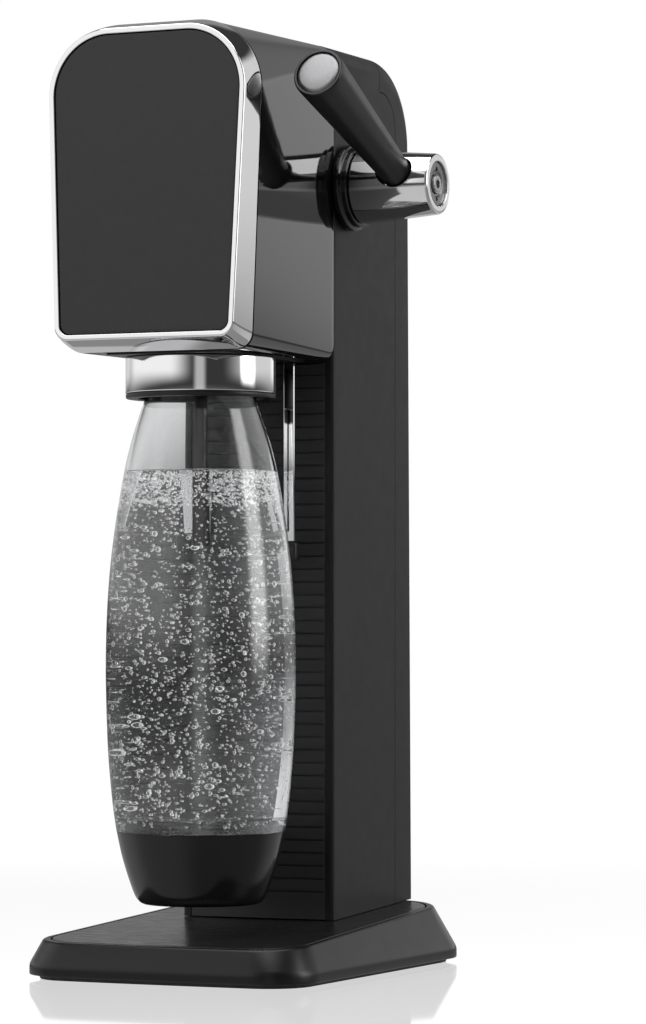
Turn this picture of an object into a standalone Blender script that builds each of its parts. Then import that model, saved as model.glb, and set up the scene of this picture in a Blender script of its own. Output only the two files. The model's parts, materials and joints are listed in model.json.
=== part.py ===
"""Countertop soda carbonator: base, column, tilting bottle holder, lever, gas line and bottle.

Frame: +Z up, the front faces -Y, X = 0 is the plane of symmetry. The origin is under the
centre of the bottle, on the plane the machine stands on. All lengths below are millimetres.
"""
import bpy
import bmesh
from math import cos, sin, pi, radians, sqrt
from mathutils import Matrix, Vector

MM = 0.001
GAP = 0.3                      # between pieces that touch

# base
BASE_HALF_W = 72.0
BASE_FRONT, BASE_REAR = -49.0, 157.0
FRONT_CORNER, REAR_CORNER = 23.5, 35.0
BASE_BOW = 2.0                 # bulge of the front edge
LIP_BOTTOM, LIP_TOP = 2.0, 6.8
TOP_FRONT_Z, TOP_REAR_Z = 17.0, 28.3
SIDE_TAPER = 0.46              # inset per height above the lip
RIM_W = 2.6
PLATE_T = 1.4

# column
COL_HALF_W = 39.5
COL_FRONT, COL_REAR = 59.5, 146.0
REAR_FLARE = 4.5               # the rear face stands this much further back at its foot
WALL = 2.0
MACHINE_TOP = 432.0
TOP_ARC = 33.0                 # rounding of the top rear corner
SHOULDER = 9.0                 # rounding of the two top side edges
SIDE_EDGE = 2.2                # rounding of the upright edges
COVER_DEPTH = 16.5             # rear cover, from its seam to the rear face
GRILLE_HALF_W = 34.9
GROOVE_FIRST_Z, GROOVE_PITCH, GROOVE_COUNT = 36.5, 6.04, 41
GROOVE_H, GROOVE_DEPTH = 0.9, 1.1
GRILLE_BOW = 0.9

# head
HEAD_BOTTOM = 284.0
BEZEL_FRONT, BEZEL_REAR = -58.0, -41.0    # at the bottom of the head
FRONT_LEAN = 0.027             # the front face leans back by this much per height
BEZEL_RIM = 2.4
HEAD_W_LOW, HEAD_W_SLOPE = 44.6, 0.031    # half width at the bottom, growth per height
HEAD_TOP_CORNER, HEAD_LOW_CORNER = 29.5, 6.5
CORNER_GROWTH = 2.5            # the bezel's top corners are rounder at its rear edge
FRONT_INSET_LOW, FRONT_INSET_TOP, BEZEL_FLARE = 4.8, 3.4, 1.8
HEEL = 4.0                     # rounding where the head's underside meets the column
HOUSING_STEP = 1.4             # the housing stands this far outside the bezel's rim

# bottle holder
HOLDER_PIVOT = (0.0, -33.0, 290.0)
COLLAR_R, COLLAR_BORE = 34.4, 28.5
COLLAR_BOTTOM, COLLAR_TOP = 264.6, 283.2
SKIN_BOTTOM = 266.9
SKIN_HALF_ANGLE = 100.0
ARM_X, ARM_W = 23.2, 5.4
ARM_Y0, ARM_Y1, ARM_BOTTOM = 44.6, 47.2, 200.0

# bottle, radius at height
BOTTLE_PROFILE = ((67.2, 38.6), (80.0, 40.4), (100.0, 42.2), (120.0, 43.1), (142.0, 43.5),
                  (165.0, 43.0), (186.0, 41.6), (205.0, 39.4), (222.0, 36.7), (236.0, 34.1),
                  (250.0, 30.4), (266.0, 25.1), (282.0, 19.6), (297.0, 14.6))
CUP_PROFILE = ((33.6, 24.0), (33.9, 26.4), (35.2, 28.4), (38.2, 30.4), (46.0, 33.2),
               (55.0, 35.9), (63.0, 37.7), (66.9, 38.5))
BOTTLE_WALL = 1.3
MOUTH_TOP = 316.0

# lever
LEVER_Y, LEVER_Z = 75.2, 366.4
LEVER_REST = 23.0              # degrees above horizontal, pointing forward
GRIP_X, GRIP_LENGTH = 69.5, 106.0
GRIP_ROOT_R, GRIP_TIP_R = 7.2, 11.8
HUB_X0, HUB_X1, HUB_R0, HUB_R1 = 47.4, 86.0, 17.2, 14.1

# gas side
CYL_Y, CYL_R, CYL_WALL = 107.0, 30.0, 2.5
CYL_BOTTOM, CYL_SHOULDER, CYL_TOP = 40.0, 318.0, 384.0
ROD_Y = 85.2
ROCKER_Y, ROCKER_Z, ROCKER_REST = 100.0, 417.0, 14.6
HANDLE_Z = 395.0


# ---------------------------------------------------------------- helpers

def clear_scene():
    for obj in list(bpy.data.objects):
        bpy.data.objects.remove(obj, do_unlink=True)


def material(name, rgb, roughness, metallic=0.0, transmission=0.0):
    mat = bpy.data.materials.new(name)
    mat.use_nodes = True
    shader = mat.node_tree.nodes["Principled BSDF"]
    shader.inputs["Base Color"].default_value = (*rgb, 1.0)
    shader.inputs["Roughness"].default_value = roughness
    shader.inputs["Metallic"].default_value = metallic
    shader.inputs["Transmission Weight"].default_value = transmission
    return mat


def empty(name, place):
    obj = bpy.data.objects.new(name, None)
    obj.location = Vector(place) * MM
    bpy.context.scene.collection.objects.link(obj)
    return obj


def finish(name, bm, mat=None, parent=None, smooth=True):
    """Turn a bmesh in world millimetres into an object, under its joint's empty if it has one."""
    bmesh.ops.remove_doubles(bm, verts=bm.verts, dist=1e-4)
    bmesh.ops.recalc_face_normals(bm, faces=bm.faces)
    home = Vector(parent.location) if parent else Vector((0.0, 0.0, 0.0))
    bm.transform(Matrix.Translation(-home) @ Matrix.Scale(MM, 4))
    mesh = bpy.data.meshes.new(name)
    bm.to_mesh(mesh)
    bm.free()
    if smooth:
        mesh.shade_smooth()
        mesh.set_sharp_from_angle(angle=radians(32))
    obj = bpy.data.objects.new(name, mesh)
    if mat:
        mesh.materials.append(mat)
    obj.parent = parent
    bpy.context.scene.collection.objects.link(obj)
    return obj


def combine(obj, tool, operation):
    """Boolean with a hidden helper solid."""
    tool.hide_render = True
    tool.display_type = "WIRE"
    mod = obj.modifiers.new(operation.title(), "BOOLEAN")
    mod.operation = operation
    mod.object = tool
    mod.solver = "EXACT"


def cut(obj, *shapes, parent=None):
    for i, bm in enumerate(shapes):
        tool = finish(f"{obj.name}.cut{i}", bm, parent=parent, smooth=False)
        combine(obj, tool, "DIFFERENCE")


def join(obj, *shapes, parent=None):
    for i, bm in enumerate(shapes):
        tool = finish(f"{obj.name}.add{i}", bm, parent=parent, smooth=False)
        combine(obj, tool, "UNION")


def box(x0, x1, y0, y1, z0, z1):
    bm = bmesh.new()
    bmesh.ops.create_cube(bm, size=1.0)
    size = Matrix.Diagonal((x1 - x0, y1 - y0, z1 - z0, 1.0))
    bm.transform(Matrix.Translation(((x0 + x1) / 2, (y0 + y1) / 2, (z0 + z1) / 2)) @ size)
    return bm


def loft(loops, closed=False):
    """Skin equal-length loops of points; the ends are capped, or joined when closed."""
    bm = bmesh.new()
    rings = [[bm.verts.new(p) for p in loop] for loop in loops]
    count = len(rings[0])
    pairs = list(zip(rings, rings[1:]))
    if closed:
        pairs.append((rings[-1], rings[0]))
    for low, high in pairs:
        for i in range(count):
            j = (i + 1) % count
            bm.faces.new((low[i], low[j], high[j], high[i]))
    if not closed:
        bm.faces.new(rings[0])
        bm.faces.new(rings[-1])
    return bm


def lathe(profile, segments=40, closed=False, axis="Z", at=(0.0, 0.0, 0.0)):
    """Turn (radius, height) points. An open profile starts and ends on the axis."""
    bm = bmesh.new()
    rings = []
    for r, h in profile:
        if r < 1e-6:
            rings.append([bm.verts.new((0.0, 0.0, h))])
            continue
        steps = [2 * pi * k / segments for k in range(segments)]
        rings.append([bm.verts.new((r * cos(a), r * sin(a), h)) for a in steps])
    pairs = list(zip(rings, rings[1:]))
    if closed:
        pairs.append((rings[-1], rings[0]))
    for low, high in pairs:
        for k in range(segments):
            n = (k + 1) % segments
            corners = [low[k % len(low)], low[n % len(low)], high[n % len(high)], high[k % len(high)]]
            bm.faces.new(list(dict.fromkeys(corners)))
    turn = {"Z": Matrix.Identity(4), "X": Matrix.Rotation(pi / 2, 4, "Y"),
            "Y": Matrix.Rotation(-pi / 2, 4, "X")}[axis]
    bm.transform(Matrix.Translation(at) @ turn)
    return bm


def rod(radius, h0, h1, axis="Z", at=(0.0, 0.0, 0.0), segments=24, bevel=0.0):
    b = bevel
    if b:
        profile = [(0, h0), (radius - b, h0), (radius, h0 + b), (radius, h1 - b), (radius - b, h1), (0, h1)]
    else:
        profile = [(0, h0), (radius, h0), (radius, h1), (0, h1)]
    return lathe(profile, segments, axis=axis, at=at)


def pipe(r_in, r_out, h0, h1, axis="Z", at=(0.0, 0.0, 0.0), segments=32):
    return lathe([(r_in, h0), (r_out, h0), (r_out, h1), (r_in, h1)], segments, True, axis, at)


def sector(r_in, r_out, z0, z1, a0, a1, steps, at=(0.0, 0.0)):
    """Part of a ring; angles in degrees from -Y, positive towards +X."""
    loops = []
    for k in range(steps + 1):
        a = radians(a0 + (a1 - a0) * k / steps)
        ux, uy = sin(a), -cos(a)
        section = ((r_in, z0), (r_out, z0), (r_out, z1), (r_in, z1))
        loops.append([(at[0] + r * ux, at[1] + r * uy, z) for r, z in section])
    return loft(loops)


def extrude_x(outline, x0, x1):
    return loft([[(x0, y, z) for y, z in outline], [(x1, y, z) for y, z in outline]])


def arc(cx, cy, r, a0, a1, steps):
    for k in range(steps + 1):
        a = radians(a0 + (a1 - a0) * k / steps)
        yield cx + r * cos(a), cy + r * sin(a)


def turned_about_x(bm, y, z, degrees):
    place = Matrix.Translation((0, y, z))
    bm.transform(place @ Matrix.Rotation(radians(degrees), 4, "X") @ place.inverted())
    return bm


def sweep(points, radius, sides=8):
    """Round wire along a polyline, with frames carried from point to point."""
    pts = [Vector(p) for p in points]
    tangents = [(pts[min(i + 1, len(pts) - 1)] - pts[max(i - 1, 0)]).normalized()
                for i in range(len(pts))]
    normal = tangents[0].orthogonal().normalized()
    loops = []
    for p, t in zip(pts, tangents):
        normal = (normal - t * normal.dot(t)).normalized()
        other = t.cross(normal)
        angles = [2 * pi * k / sides for k in range(sides)]
        loops.append([p + radius * (cos(a) * normal + sin(a) * other) for a in angles])
    return loft(loops)


# ---------------------------------------------------------------- base

def plate_z(y):
    """Height of the sloping top of the base."""
    return TOP_FRONT_Z + (TOP_REAR_Z - TOP_FRONT_Z) * (y - BASE_FRONT) / (BASE_REAR - BASE_FRONT)


def base_outline(inset):
    """Plan of the base: a rounded rectangle with a slightly bowed front edge."""
    w, f, r = BASE_HALF_W - inset, BASE_FRONT + inset, BASE_REAR - inset
    back, fore = REAR_CORNER - inset, FRONT_CORNER - inset
    pts = list(arc(w - back, r - back, back, 0, 90, 6)) + list(arc(-w + back, r - back, back, 90, 180, 6))
    pts += list(arc(-w + fore, f + fore, fore, 180, 270, 6))
    span = w - fore
    pts += [(-span + 2 * span * k / 7, f) for k in range(1, 7)]
    pts += list(arc(w - fore, f + fore, fore, 270, 360, 6))
    middle = (BASE_FRONT + BASE_REAR) / 2
    out = []
    for x, y in pts:
        front = max(0.0, min(1.0, (middle - y) / (middle - f)))
        out.append((x, y - BASE_BOW * (1 - (x / w) ** 2) * front ** 6))
    return out


def base_loop(z, inset=0.0, drop=None):
    """Loop of the outline at height z, or 'drop' below the sloping top with the side taper."""
    if drop is None:
        return [(x, y, z) for x, y in base_outline(inset)]
    loop = []
    for x, y in base_outline(0.0):
        taper = SIDE_TAPER * (plate_z(y) - LIP_TOP) + inset
        k = 1 - taper / BASE_HALF_W
        middle = (BASE_FRONT + BASE_REAR) / 2
        half = (BASE_REAR - BASE_FRONT) / 2
        new_y = middle + (y - middle) * (1 - taper / half)
        loop.append((x * k, new_y, plate_z(new_y) - drop))
    return loop


def make_base(mats):
    frame = finish("base_frame", loft([base_loop(LIP_BOTTOM), base_loop(LIP_TOP),
                                       base_loop(0, 0.0, 0.0)]), mats["satin_black"])
    recess = loft([base_loop(0, RIM_W, PLATE_T + GAP), base_loop(0, RIM_W, -4.0)])
    hollow = loft([base_loop(-2.0, 2.6), base_loop(LIP_TOP, 2.6), base_loop(0, 2.6, PLATE_T + 3.2)])
    cut(frame, recess, hollow)
    plate = loft([base_loop(0, RIM_W + 0.7, PLATE_T), base_loop(0, RIM_W + 0.7, 0.25),
                  base_loop(0, RIM_W + 0.95, 0.0)])
    finish("base_top_plate", plate, mats["brushed_black"])
    finish("base_foot_pad", loft([base_loop(0.0, 5.0), base_loop(LIP_BOTTOM - GAP, 4.2)]),
           mats["rubber"])
    finish("base_ballast", box(-52, 52, -28, 128, LIP_BOTTOM + 0.1, 9.0), mats["steel"])


# ---------------------------------------------------------------- column

ARC_Y, ARC_Z = COL_REAR - TOP_ARC, MACHINE_TOP - TOP_ARC


def column_side(inset=0.0, bottom_drop=0.0, top_drop=0.0):
    """Side profile of the column in Y and Z, 'inset' inwards, with its top lowered by 'top_drop'."""
    front, rear, top = COL_FRONT + inset, COL_REAR - inset, MACHINE_TOP - inset - top_drop
    lift = GAP - bottom_drop
    foot = rear + REAR_FLARE
    pts = [(front, plate_z(front) + lift), (foot, plate_z(foot) + lift)]
    pts += list(arc(ARC_Y, ARC_Z - top_drop, TOP_ARC - inset, 0, 90, 10))
    pts.append((front, top))
    return pts


def rounding(x, half_width, radius):
    """How far an edge rounded to 'radius' has fallen back at x."""
    beyond = max(abs(x) - (half_width - radius), 0.0)
    return radius - sqrt(max(radius ** 2 - beyond ** 2, 0.0))


def cover_region(clearance):
    """The strip behind and over the seam, where the rear cover sits."""
    r = TOP_ARC - COVER_DEPTH + clearance
    seam = ARC_Y - 1.5 + clearance
    inner = [(ARC_Y + r, 0.0)] + list(arc(ARC_Y, ARC_Z, r, 0, 90, 8)) + [(seam, ARC_Z + r), (seam, 460.0)]
    return [(180.0, 460.0), (180.0, 0.0)] + inner


def column_stations(half_width, radius):
    """X of the profiles, close together where the shoulder turns down."""
    right = [half_width - radius + radius * sin(radians(d)) for d in (0, 17, 34, 50, 62, 71, 79, 90)]
    return [-x for x in reversed(right)] + right


def column_block():
    """Outer block of the column with its shoulders and upright edges rounded."""
    loops = []
    for x in column_stations(COL_HALF_W, SHOULDER):
        side = column_side(rounding(x, COL_HALF_W, SIDE_EDGE), 0.0, rounding(x, COL_HALF_W, SHOULDER))
        loops.append([(x, y, z) for y, z in side])
    return loft(loops)


def column_core():
    """The space inside the column's wall."""
    half_width, shoulder, below = COL_HALF_W - WALL, SHOULDER - WALL, 20.0
    loops = []
    for x in column_stations(half_width, shoulder):
        side = column_side(WALL, below, rounding(x, half_width, shoulder))
        loops.append([(x, y, z) for y, z in side])
    return loft(loops)


def make_column(mats):
    shell = finish("column_shell", column_block(), mats["matte_black"])
    rear = extrude_x(cover_region(0.0), -60, 60)
    window = box(-GRILLE_HALF_W - GAP, GRILLE_HALF_W + GAP, 50, 70, 0, HEAD_BOTTOM - 0.6)
    passage = box(-32, 32, 50, 70, 300, 422)
    shaft_hole = rod(9.0, 30, 50, "X", (0, LEVER_Y, LEVER_Z), 28)
    cut(shell, column_core(), rear, window, passage, shaft_hole)

    cover = finish("rear_cover", column_block(), mats["matte_black"])
    keep = finish("rear_cover.keep", extrude_x(cover_region(0.4), -60, 60), smooth=False)
    combine(cover, keep, "INTERSECT")
    cut(cover, column_core())

    make_grille(mats)
    make_spine(mats)


def make_grille(mats):
    """Front panel with a row of level grooves, slightly bowed across its width."""
    steps, back = 2, 2.4
    profile = [(0.0, plate_z(COL_FRONT) + 0.6)]
    for k in range(GROOVE_COUNT):
        z = GROOVE_FIRST_Z + k * GROOVE_PITCH
        if z + GROOVE_H > HEAD_BOTTOM - 2.0:
            break
        profile += [(0.0, z - GROOVE_H / 2), (GROOVE_DEPTH, z - GROOVE_H / 2 + 0.15),
                    (GROOVE_DEPTH, z + GROOVE_H / 2), (0.0, z + GROOVE_H / 2)]
    profile.append((0.0, HEAD_BOTTOM - 1.0))
    loops = []
    for i in range(steps + 1):
        t = -1 + 2 * i / steps
        face = COL_FRONT + 0.3 + GRILLE_BOW * t * t - GRILLE_BOW
        loop = [(GRILLE_HALF_W * t, face + depth, z) for depth, z in profile]
        loop += [(GRILLE_HALF_W * t, COL_FRONT + back, HEAD_BOTTOM - 1.0),
                 (GRILLE_HALF_W * t, COL_FRONT + back, plate_z(COL_FRONT) + 0.6)]
        loops.append(loop)
    finish("column_grille", loft(loops), mats["matte_black"], smooth=False)


def make_spine(mats):
    """Channel that carries the cylinder, the lever shaft and the head."""
    low, high, web0, web1 = 29.0, 413.5, 62.4, 64.6
    half, sheet, depth = 36.8, 2.4, 93.0
    channel = [(-half, web0), (half, web0), (half, depth), (half - sheet, depth),
               (half - sheet, web1), (-half + sheet, web1), (-half + sheet, depth), (-half, depth)]
    ends = [[(x, y, z) for x, y in channel] for z in (low, high)]
    spine = finish("chassis_spine", loft(ends), mats["steel"], smooth=False)
    window = box(-24, 24, 55, 70, 352, 410)
    holes = [rod(7.5, -50, 50, "X", (0, LEVER_Y, LEVER_Z), 28)]
    holes += [rod(2.3, 55, 70, "Y", (x, 0, z), 16) for x, z in SCREW_PLACES]
    cut(spine, window, *holes)

    for name, side in (("shaft_bush_left", -1), ("shaft_bush_right", 1)):
        x = side * 35.6
        bush = lathe([(5.4, x - 1.6), (7.2, x - 1.6), (7.2, x + 1.6), (5.4, x + 1.6)], 28, True,
                     "X", (0, LEVER_Y, LEVER_Z))
        finish(name, bush, mats["brass"])
    rest = [(0, 30.2), (33.2, 30.2), (33.2, 46.0), (31.4, 46.0), (31.4, 34.2), (0, 34.2)]
    finish("cylinder_rest", lathe(rest, 28, at=(0, CYL_Y, 0)), mats["matte_plastic"])
    guide = finish("cylinder_guide", sector(31.0, 33.2, 196, 212, -112, 112, 14, (0, CYL_Y)),
                   mats["matte_plastic"])
    join(guide, box(-14, 14, web1 + GAP, CYL_Y - 31.6, 199, 209))


# ---------------------------------------------------------------- head

SCREW_PLACES = ((-20.0, 332.0), (20.0, 332.0))


def head_outline(inset_x, inset_low, inset_top, top_r, low_r, w_low=HEAD_W_LOW, slope=HEAD_W_SLOPE):
    """Rounded trapezoid, wider at the top, as X and Z points."""
    z0, z1 = HEAD_BOTTOM + inset_low, MACHINE_TOP - inset_top
    low = w_low - inset_x + slope * inset_low
    high = w_low - inset_x + slope * (MACHINE_TOP - HEAD_BOTTOM - inset_top)
    pts = list(arc(high - top_r, z1 - top_r, top_r, 0, 90, 8))
    pts += list(arc(-high + top_r, z1 - top_r, top_r, 90, 180, 8))
    pts += list(arc(-low + low_r, z0 + low_r, low_r, 180, 270, 5))
    pts += list(arc(low - low_r, z0 + low_r, low_r, 270, 360, 5))
    return pts


def ring_loop(y, pts):
    return [(x, y, z) for x, z in pts]


def face_loop(depth, pts):
    """Loop lying 'depth' behind the leaning front face."""
    return [(x, BEZEL_FRONT + FRONT_LEAN * (z - HEAD_BOTTOM) + depth, z) for x, z in pts]


def bezel_section(step):
    """Outline of the bezel between its front rim (step 0) and its rear edge (step 1)."""
    keep = 1.0 - step
    return head_outline(-BEZEL_FLARE * step, FRONT_INSET_LOW * keep, FRONT_INSET_TOP * keep,
                        HEAD_TOP_CORNER + CORNER_GROWTH * step, HEAD_LOW_CORNER + step)


def bezel_loop(step):
    """The bezel's outline in space, from the leaning rim back to the upright rear edge."""
    outline = bezel_section(step)
    return [(x, y + (BEZEL_REAR - y) * step, z) for x, y, z in face_loop(0.0, outline)]


def front_opening(extra):
    rim = BEZEL_RIM + extra
    return head_outline(rim, FRONT_INSET_LOW + rim, FRONT_INSET_TOP + rim,
                        HEAD_TOP_CORNER - rim, HEAD_LOW_CORNER - 1.8)


def make_head(mats):
    edge = head_outline(0.5, FRONT_INSET_LOW + 0.5, FRONT_INSET_TOP + 0.5,
                        HEAD_TOP_CORNER - 0.5, HEAD_LOW_CORNER - 0.5)
    opening = front_opening(0.0)
    loops = [bezel_loop(0.97), bezel_loop(0.65), bezel_loop(0.33), bezel_loop(0.03), face_loop(0.0, edge),
             face_loop(0.0, opening), face_loop(4.0, opening), ring_loop(BEZEL_REAR, opening),
             ring_loop(BEZEL_REAR, bezel_section(0.9))]
    finish("front_bezel", loft(loops, closed=True), mats["chrome"])
    panel = loft([face_loop(0.6, front_opening(0.8)), face_loop(0.9, front_opening(0.4)),
                  face_loop(3.4, front_opening(0.4))])
    finish("front_panel", panel, mats["matte_black"])
    make_housing(mats)
    make_head_frame(mats)


def housing_loop(y, shrink):
    """Section of the housing: the head's trapezoid in front, the column's width behind."""
    rear = COL_FRONT - 0.3
    t = max(0.0, min(1.0, (y - BEZEL_REAR) / (rear - BEZEL_REAR)))
    w_low = (HEAD_W_LOW + HOUSING_STEP) * (1 - t) + COL_HALF_W * t
    slope = HEAD_W_SLOPE * (1 - t)
    corner = (HEAD_TOP_CORNER + CORNER_GROWTH) * (1 - t) + SHOULDER * t
    lift = rounding(max(y, 0.0), rear, HEEL)
    low_r = (HEAD_LOW_CORNER + 0.5) * (1 - t) + HEEL * t
    return ring_loop(y, head_outline(shrink, shrink + lift + 0.1, shrink + 0.1,
                                     corner - shrink, low_r - shrink * 0.5, w_low, slope))


def make_housing(mats):
    rear = COL_FRONT - 0.3
    stations = [BEZEL_REAR + GAP, BEZEL_REAR + 1.6, BEZEL_REAR + 1.61, -14.0, 12.0, 36.0]
    stations += [rear - HEEL + HEEL * sin(radians(a)) for a in (0, 35, 65)] + [rear]
    insets = [1.3, 1.3, 0.0] + [0.0] * (len(stations) - 3)
    housing = finish("head_housing", loft([housing_loop(y, s) for y, s in zip(stations, insets)]),
                     mats["gloss_black"])
    inner = [(-60.0, 2.6), (BEZEL_REAR + 2.0, 2.6), (12.0, WALL), (rear - HEEL, WALL), (rear - 1.6, WALL),
             (80.0, WALL)]
    loops = []
    for y, s in inner:
        loop = housing_loop(min(y, rear - 1.6), s)
        loops.append([(px, y, pz) for px, _, pz in loop])
    underside = box(-29.6, 29.6, -60, 51.5, 280, 292)
    cut(housing, loft(loops), underside)


def make_head_frame(mats):
    """Bracket in the head that carries the holder's pivot, bolted to the spine."""
    low, high, sheet, ahead, wall = 287.2, 318.0, 2.0, -38.0, 55.6
    yoke = [(-32, ahead), (-30, ahead), (-30, wall), (30, wall), (30, ahead), (32, ahead),
            (32, wall + sheet), (-32, wall + sheet)]
    ends = [[(x, y, z) for x, y in yoke] for z in (low, high)]
    frame = finish("head_frame", loft(ends), mats["steel"], smooth=False)
    join(frame, box(-27, 27, wall + 0.1, wall + sheet + 0.3, high - 4.0, 344))
    pivot = rod(2.4, -50, 50, "X", HOLDER_PIVOT, 16)
    holes = [rod(2.3, 50, 70, "Y", (x, 0, z), 16) for x, z in SCREW_PLACES]
    cut(frame, pivot, *holes)
    finish("holder_pivot_pin", rod(2.0, -33.4, 33.4, "X", HOLDER_PIVOT, 16), mats["steel"])
    for k, (x, z) in enumerate(SCREW_PLACES):
        head, shank = 3.8, 1.9
        profile = [(0, 52.4), (head - 0.6, 52.4), (head, 53.0), (head, 55.3), (shank, 55.3),
                   (shank, 68.0), (0, 68.0)]
        finish(f"frame_screw_{k + 1}", lathe(profile, 20, axis="Y", at=(x, 0, z)), mats["steel"])


# ---------------------------------------------------------------- bottle holder

def collar_section(degrees, radius):
    """Section of the collar: a lower lip, and a body that is slimmer where the skin lies."""
    a = radians(degrees)
    lip = SKIN_BOTTOM - GAP
    section = ((COLLAR_BORE, COLLAR_BOTTOM), (COLLAR_R, COLLAR_BOTTOM), (COLLAR_R, lip),
               (radius, lip), (radius, COLLAR_TOP), (COLLAR_BORE, COLLAR_TOP))
    return [(r * sin(a), -r * cos(a), z) for r, z in section]


def make_holder(mats, pivot):
    skin_end = SKIN_HALF_ANGLE
    front = [-skin_end - 1 + (2 * skin_end + 2) * k / 22 for k in range(23)]
    back = [skin_end + 1.2 + (357.6 - 2 * skin_end) * k / 16 for k in range(17)]
    loops = [collar_section(a, COLLAR_R - 1.6) for a in front]
    loops += [collar_section(a, COLLAR_R - 0.01) for a in back]
    finish("holder_collar", loft(loops, closed=True), mats["matte_plastic"], pivot)
    skin = sector(COLLAR_R - 1.2, COLLAR_R + 0.1, SKIN_BOTTOM, COLLAR_TOP, -skin_end, skin_end, 24)
    finish("collar_skin", skin, mats["chrome"], pivot)

    deck = finish("holder_deck", box(-29, 29, -37, 50.5, COLLAR_TOP + GAP, 286.4),
                  mats["matte_plastic"], pivot)
    lugs = [box(s * 26.5 - 2.0, s * 26.5 + 2.0, -36.6, -29.4, 285.5, 293.6) for s in (-1, 1)]
    join(deck, *lugs, parent=pivot)
    cut(deck, rod(24.0, 270, 300, segments=40), rod(2.4, -50, 50, "X", HOLDER_PIVOT, 16),
        parent=pivot)

    for name, side in (("holder_arm_left", -1), ("holder_arm_right", 1)):
        x = side * ARM_X
        arm = box(x - ARM_W / 2, x + ARM_W / 2, ARM_Y0, ARM_Y1, ARM_BOTTOM, COLLAR_TOP)
        vertical = [e for e in arm.edges if abs(e.verts[0].co.z - e.verts[1].co.z) > 1]
        bmesh.ops.bevel(arm, geom=vertical, offset=0.6, segments=1, affect="EDGES")
        finish(name, arm, mats["chrome"], pivot)
    foot = box(-ARM_X - 4, ARM_X + 4, ARM_Y0 - 1.2, ARM_Y1 + 1.0, ARM_BOTTOM - 9.0, ARM_BOTTOM - GAP)
    bmesh.ops.bevel(foot, geom=list(foot.edges), offset=1.0, segments=2, affect="EDGES")
    finish("holder_arm_bridge", foot, mats["matte_plastic"], pivot)
    make_nozzle(mats, pivot)


def make_nozzle(mats, pivot):
    socket = 17.6
    profile = [(4.0, 334), (20.5, 334), (22, 332.5), (22, 303), (socket, 303), (socket, 320.0), (4.0, 320.0)]
    nozzle = finish("nozzle_head", lathe(profile[::-1], 32, True), mats["matte_plastic"], pivot)
    bridge = [box(s * 24.5 - 3.5, s * 24.5 + 3.5, -6, 6, 322, 328) for s in (-1, 1)]
    posts = [box(s * 26.4 - 1.6, s * 26.4 + 1.6, -6, 6, 286.7, 328) for s in (-1, 1)]
    join(nozzle, *bridge, *posts, parent=pivot)
    finish("bottle_seal", pipe(9.5, 17.2, MOUTH_TOP + 0.5, 319.7, segments=36), mats["rubber"], pivot)
    tube = [(1.5, 196), (2.6, 196), (3.0, 196.8), (3.0, 338), (1.5, 338)]
    finish("carbonation_tube", lathe(tube, 20, True), mats["matte_plastic"], pivot)
    valve = [(0, 334.3), (4.6, 334.3), (4.6, 341), (3.2, 342), (3.2, 348), (0, 348)]
    finish("relief_valve", lathe(valve, 20, at=(0, 14.0, 0)), mats["brass"], pivot)


# ---------------------------------------------------------------- bottle

def make_bottle(mats, slide):
    outer = [(r, z) for z, r in BOTTLE_PROFILE]
    foot = [(0.0, 39.4), (16.0, 37.4), (25.4, 37.4), (28.2, 39.2), (31.0, 47.0), (33.7, 56.0),
            (35.6, 63.5), (36.3, 67.0)]
    neck = [(13.4, 300), (13.4, 303.2), (16.4, 303.2), (16.4, 305.0), (13.4, 305.0),
            (13.4, 309.4), (14.3, 310.2), (13.4, 311.0), (13.4, MOUTH_TOP)]
    inside = [(11.2, MOUTH_TOP), (11.2, 300.0)]
    inside += [(r - BOTTLE_WALL, z) for r, z in reversed(outer[1:])] + [(35.2, 69.5)]
    inside += [(r - BOTTLE_WALL, z + 0.6) for r, z in reversed(foot[3:-1])]
    inside += [(23.5, 39.6), (15.0, 39.6), (0.0, 41.4)]
    profile = foot + outer + neck + inside
    finish("bottle_body", lathe(profile, 32), mats["clear"], slide)

    shell = [(r, z) for z, r in CUP_PROFILE]
    inner = [(35.6 + GAP, 63.6), (33.7 + GAP + 0.1, 56.0), (31.4, 47.0), (28.7, 39.2), (26.0, 36.6),
             (0, 36.6)]
    cup = [(0, 34.8), (20.0, 34.8)] + shell + [(36.7, 66.9)] + inner
    finish("bottle_cup", lathe(cup, 32), mats["matte_plastic"], slide)


# ---------------------------------------------------------------- lever

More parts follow.
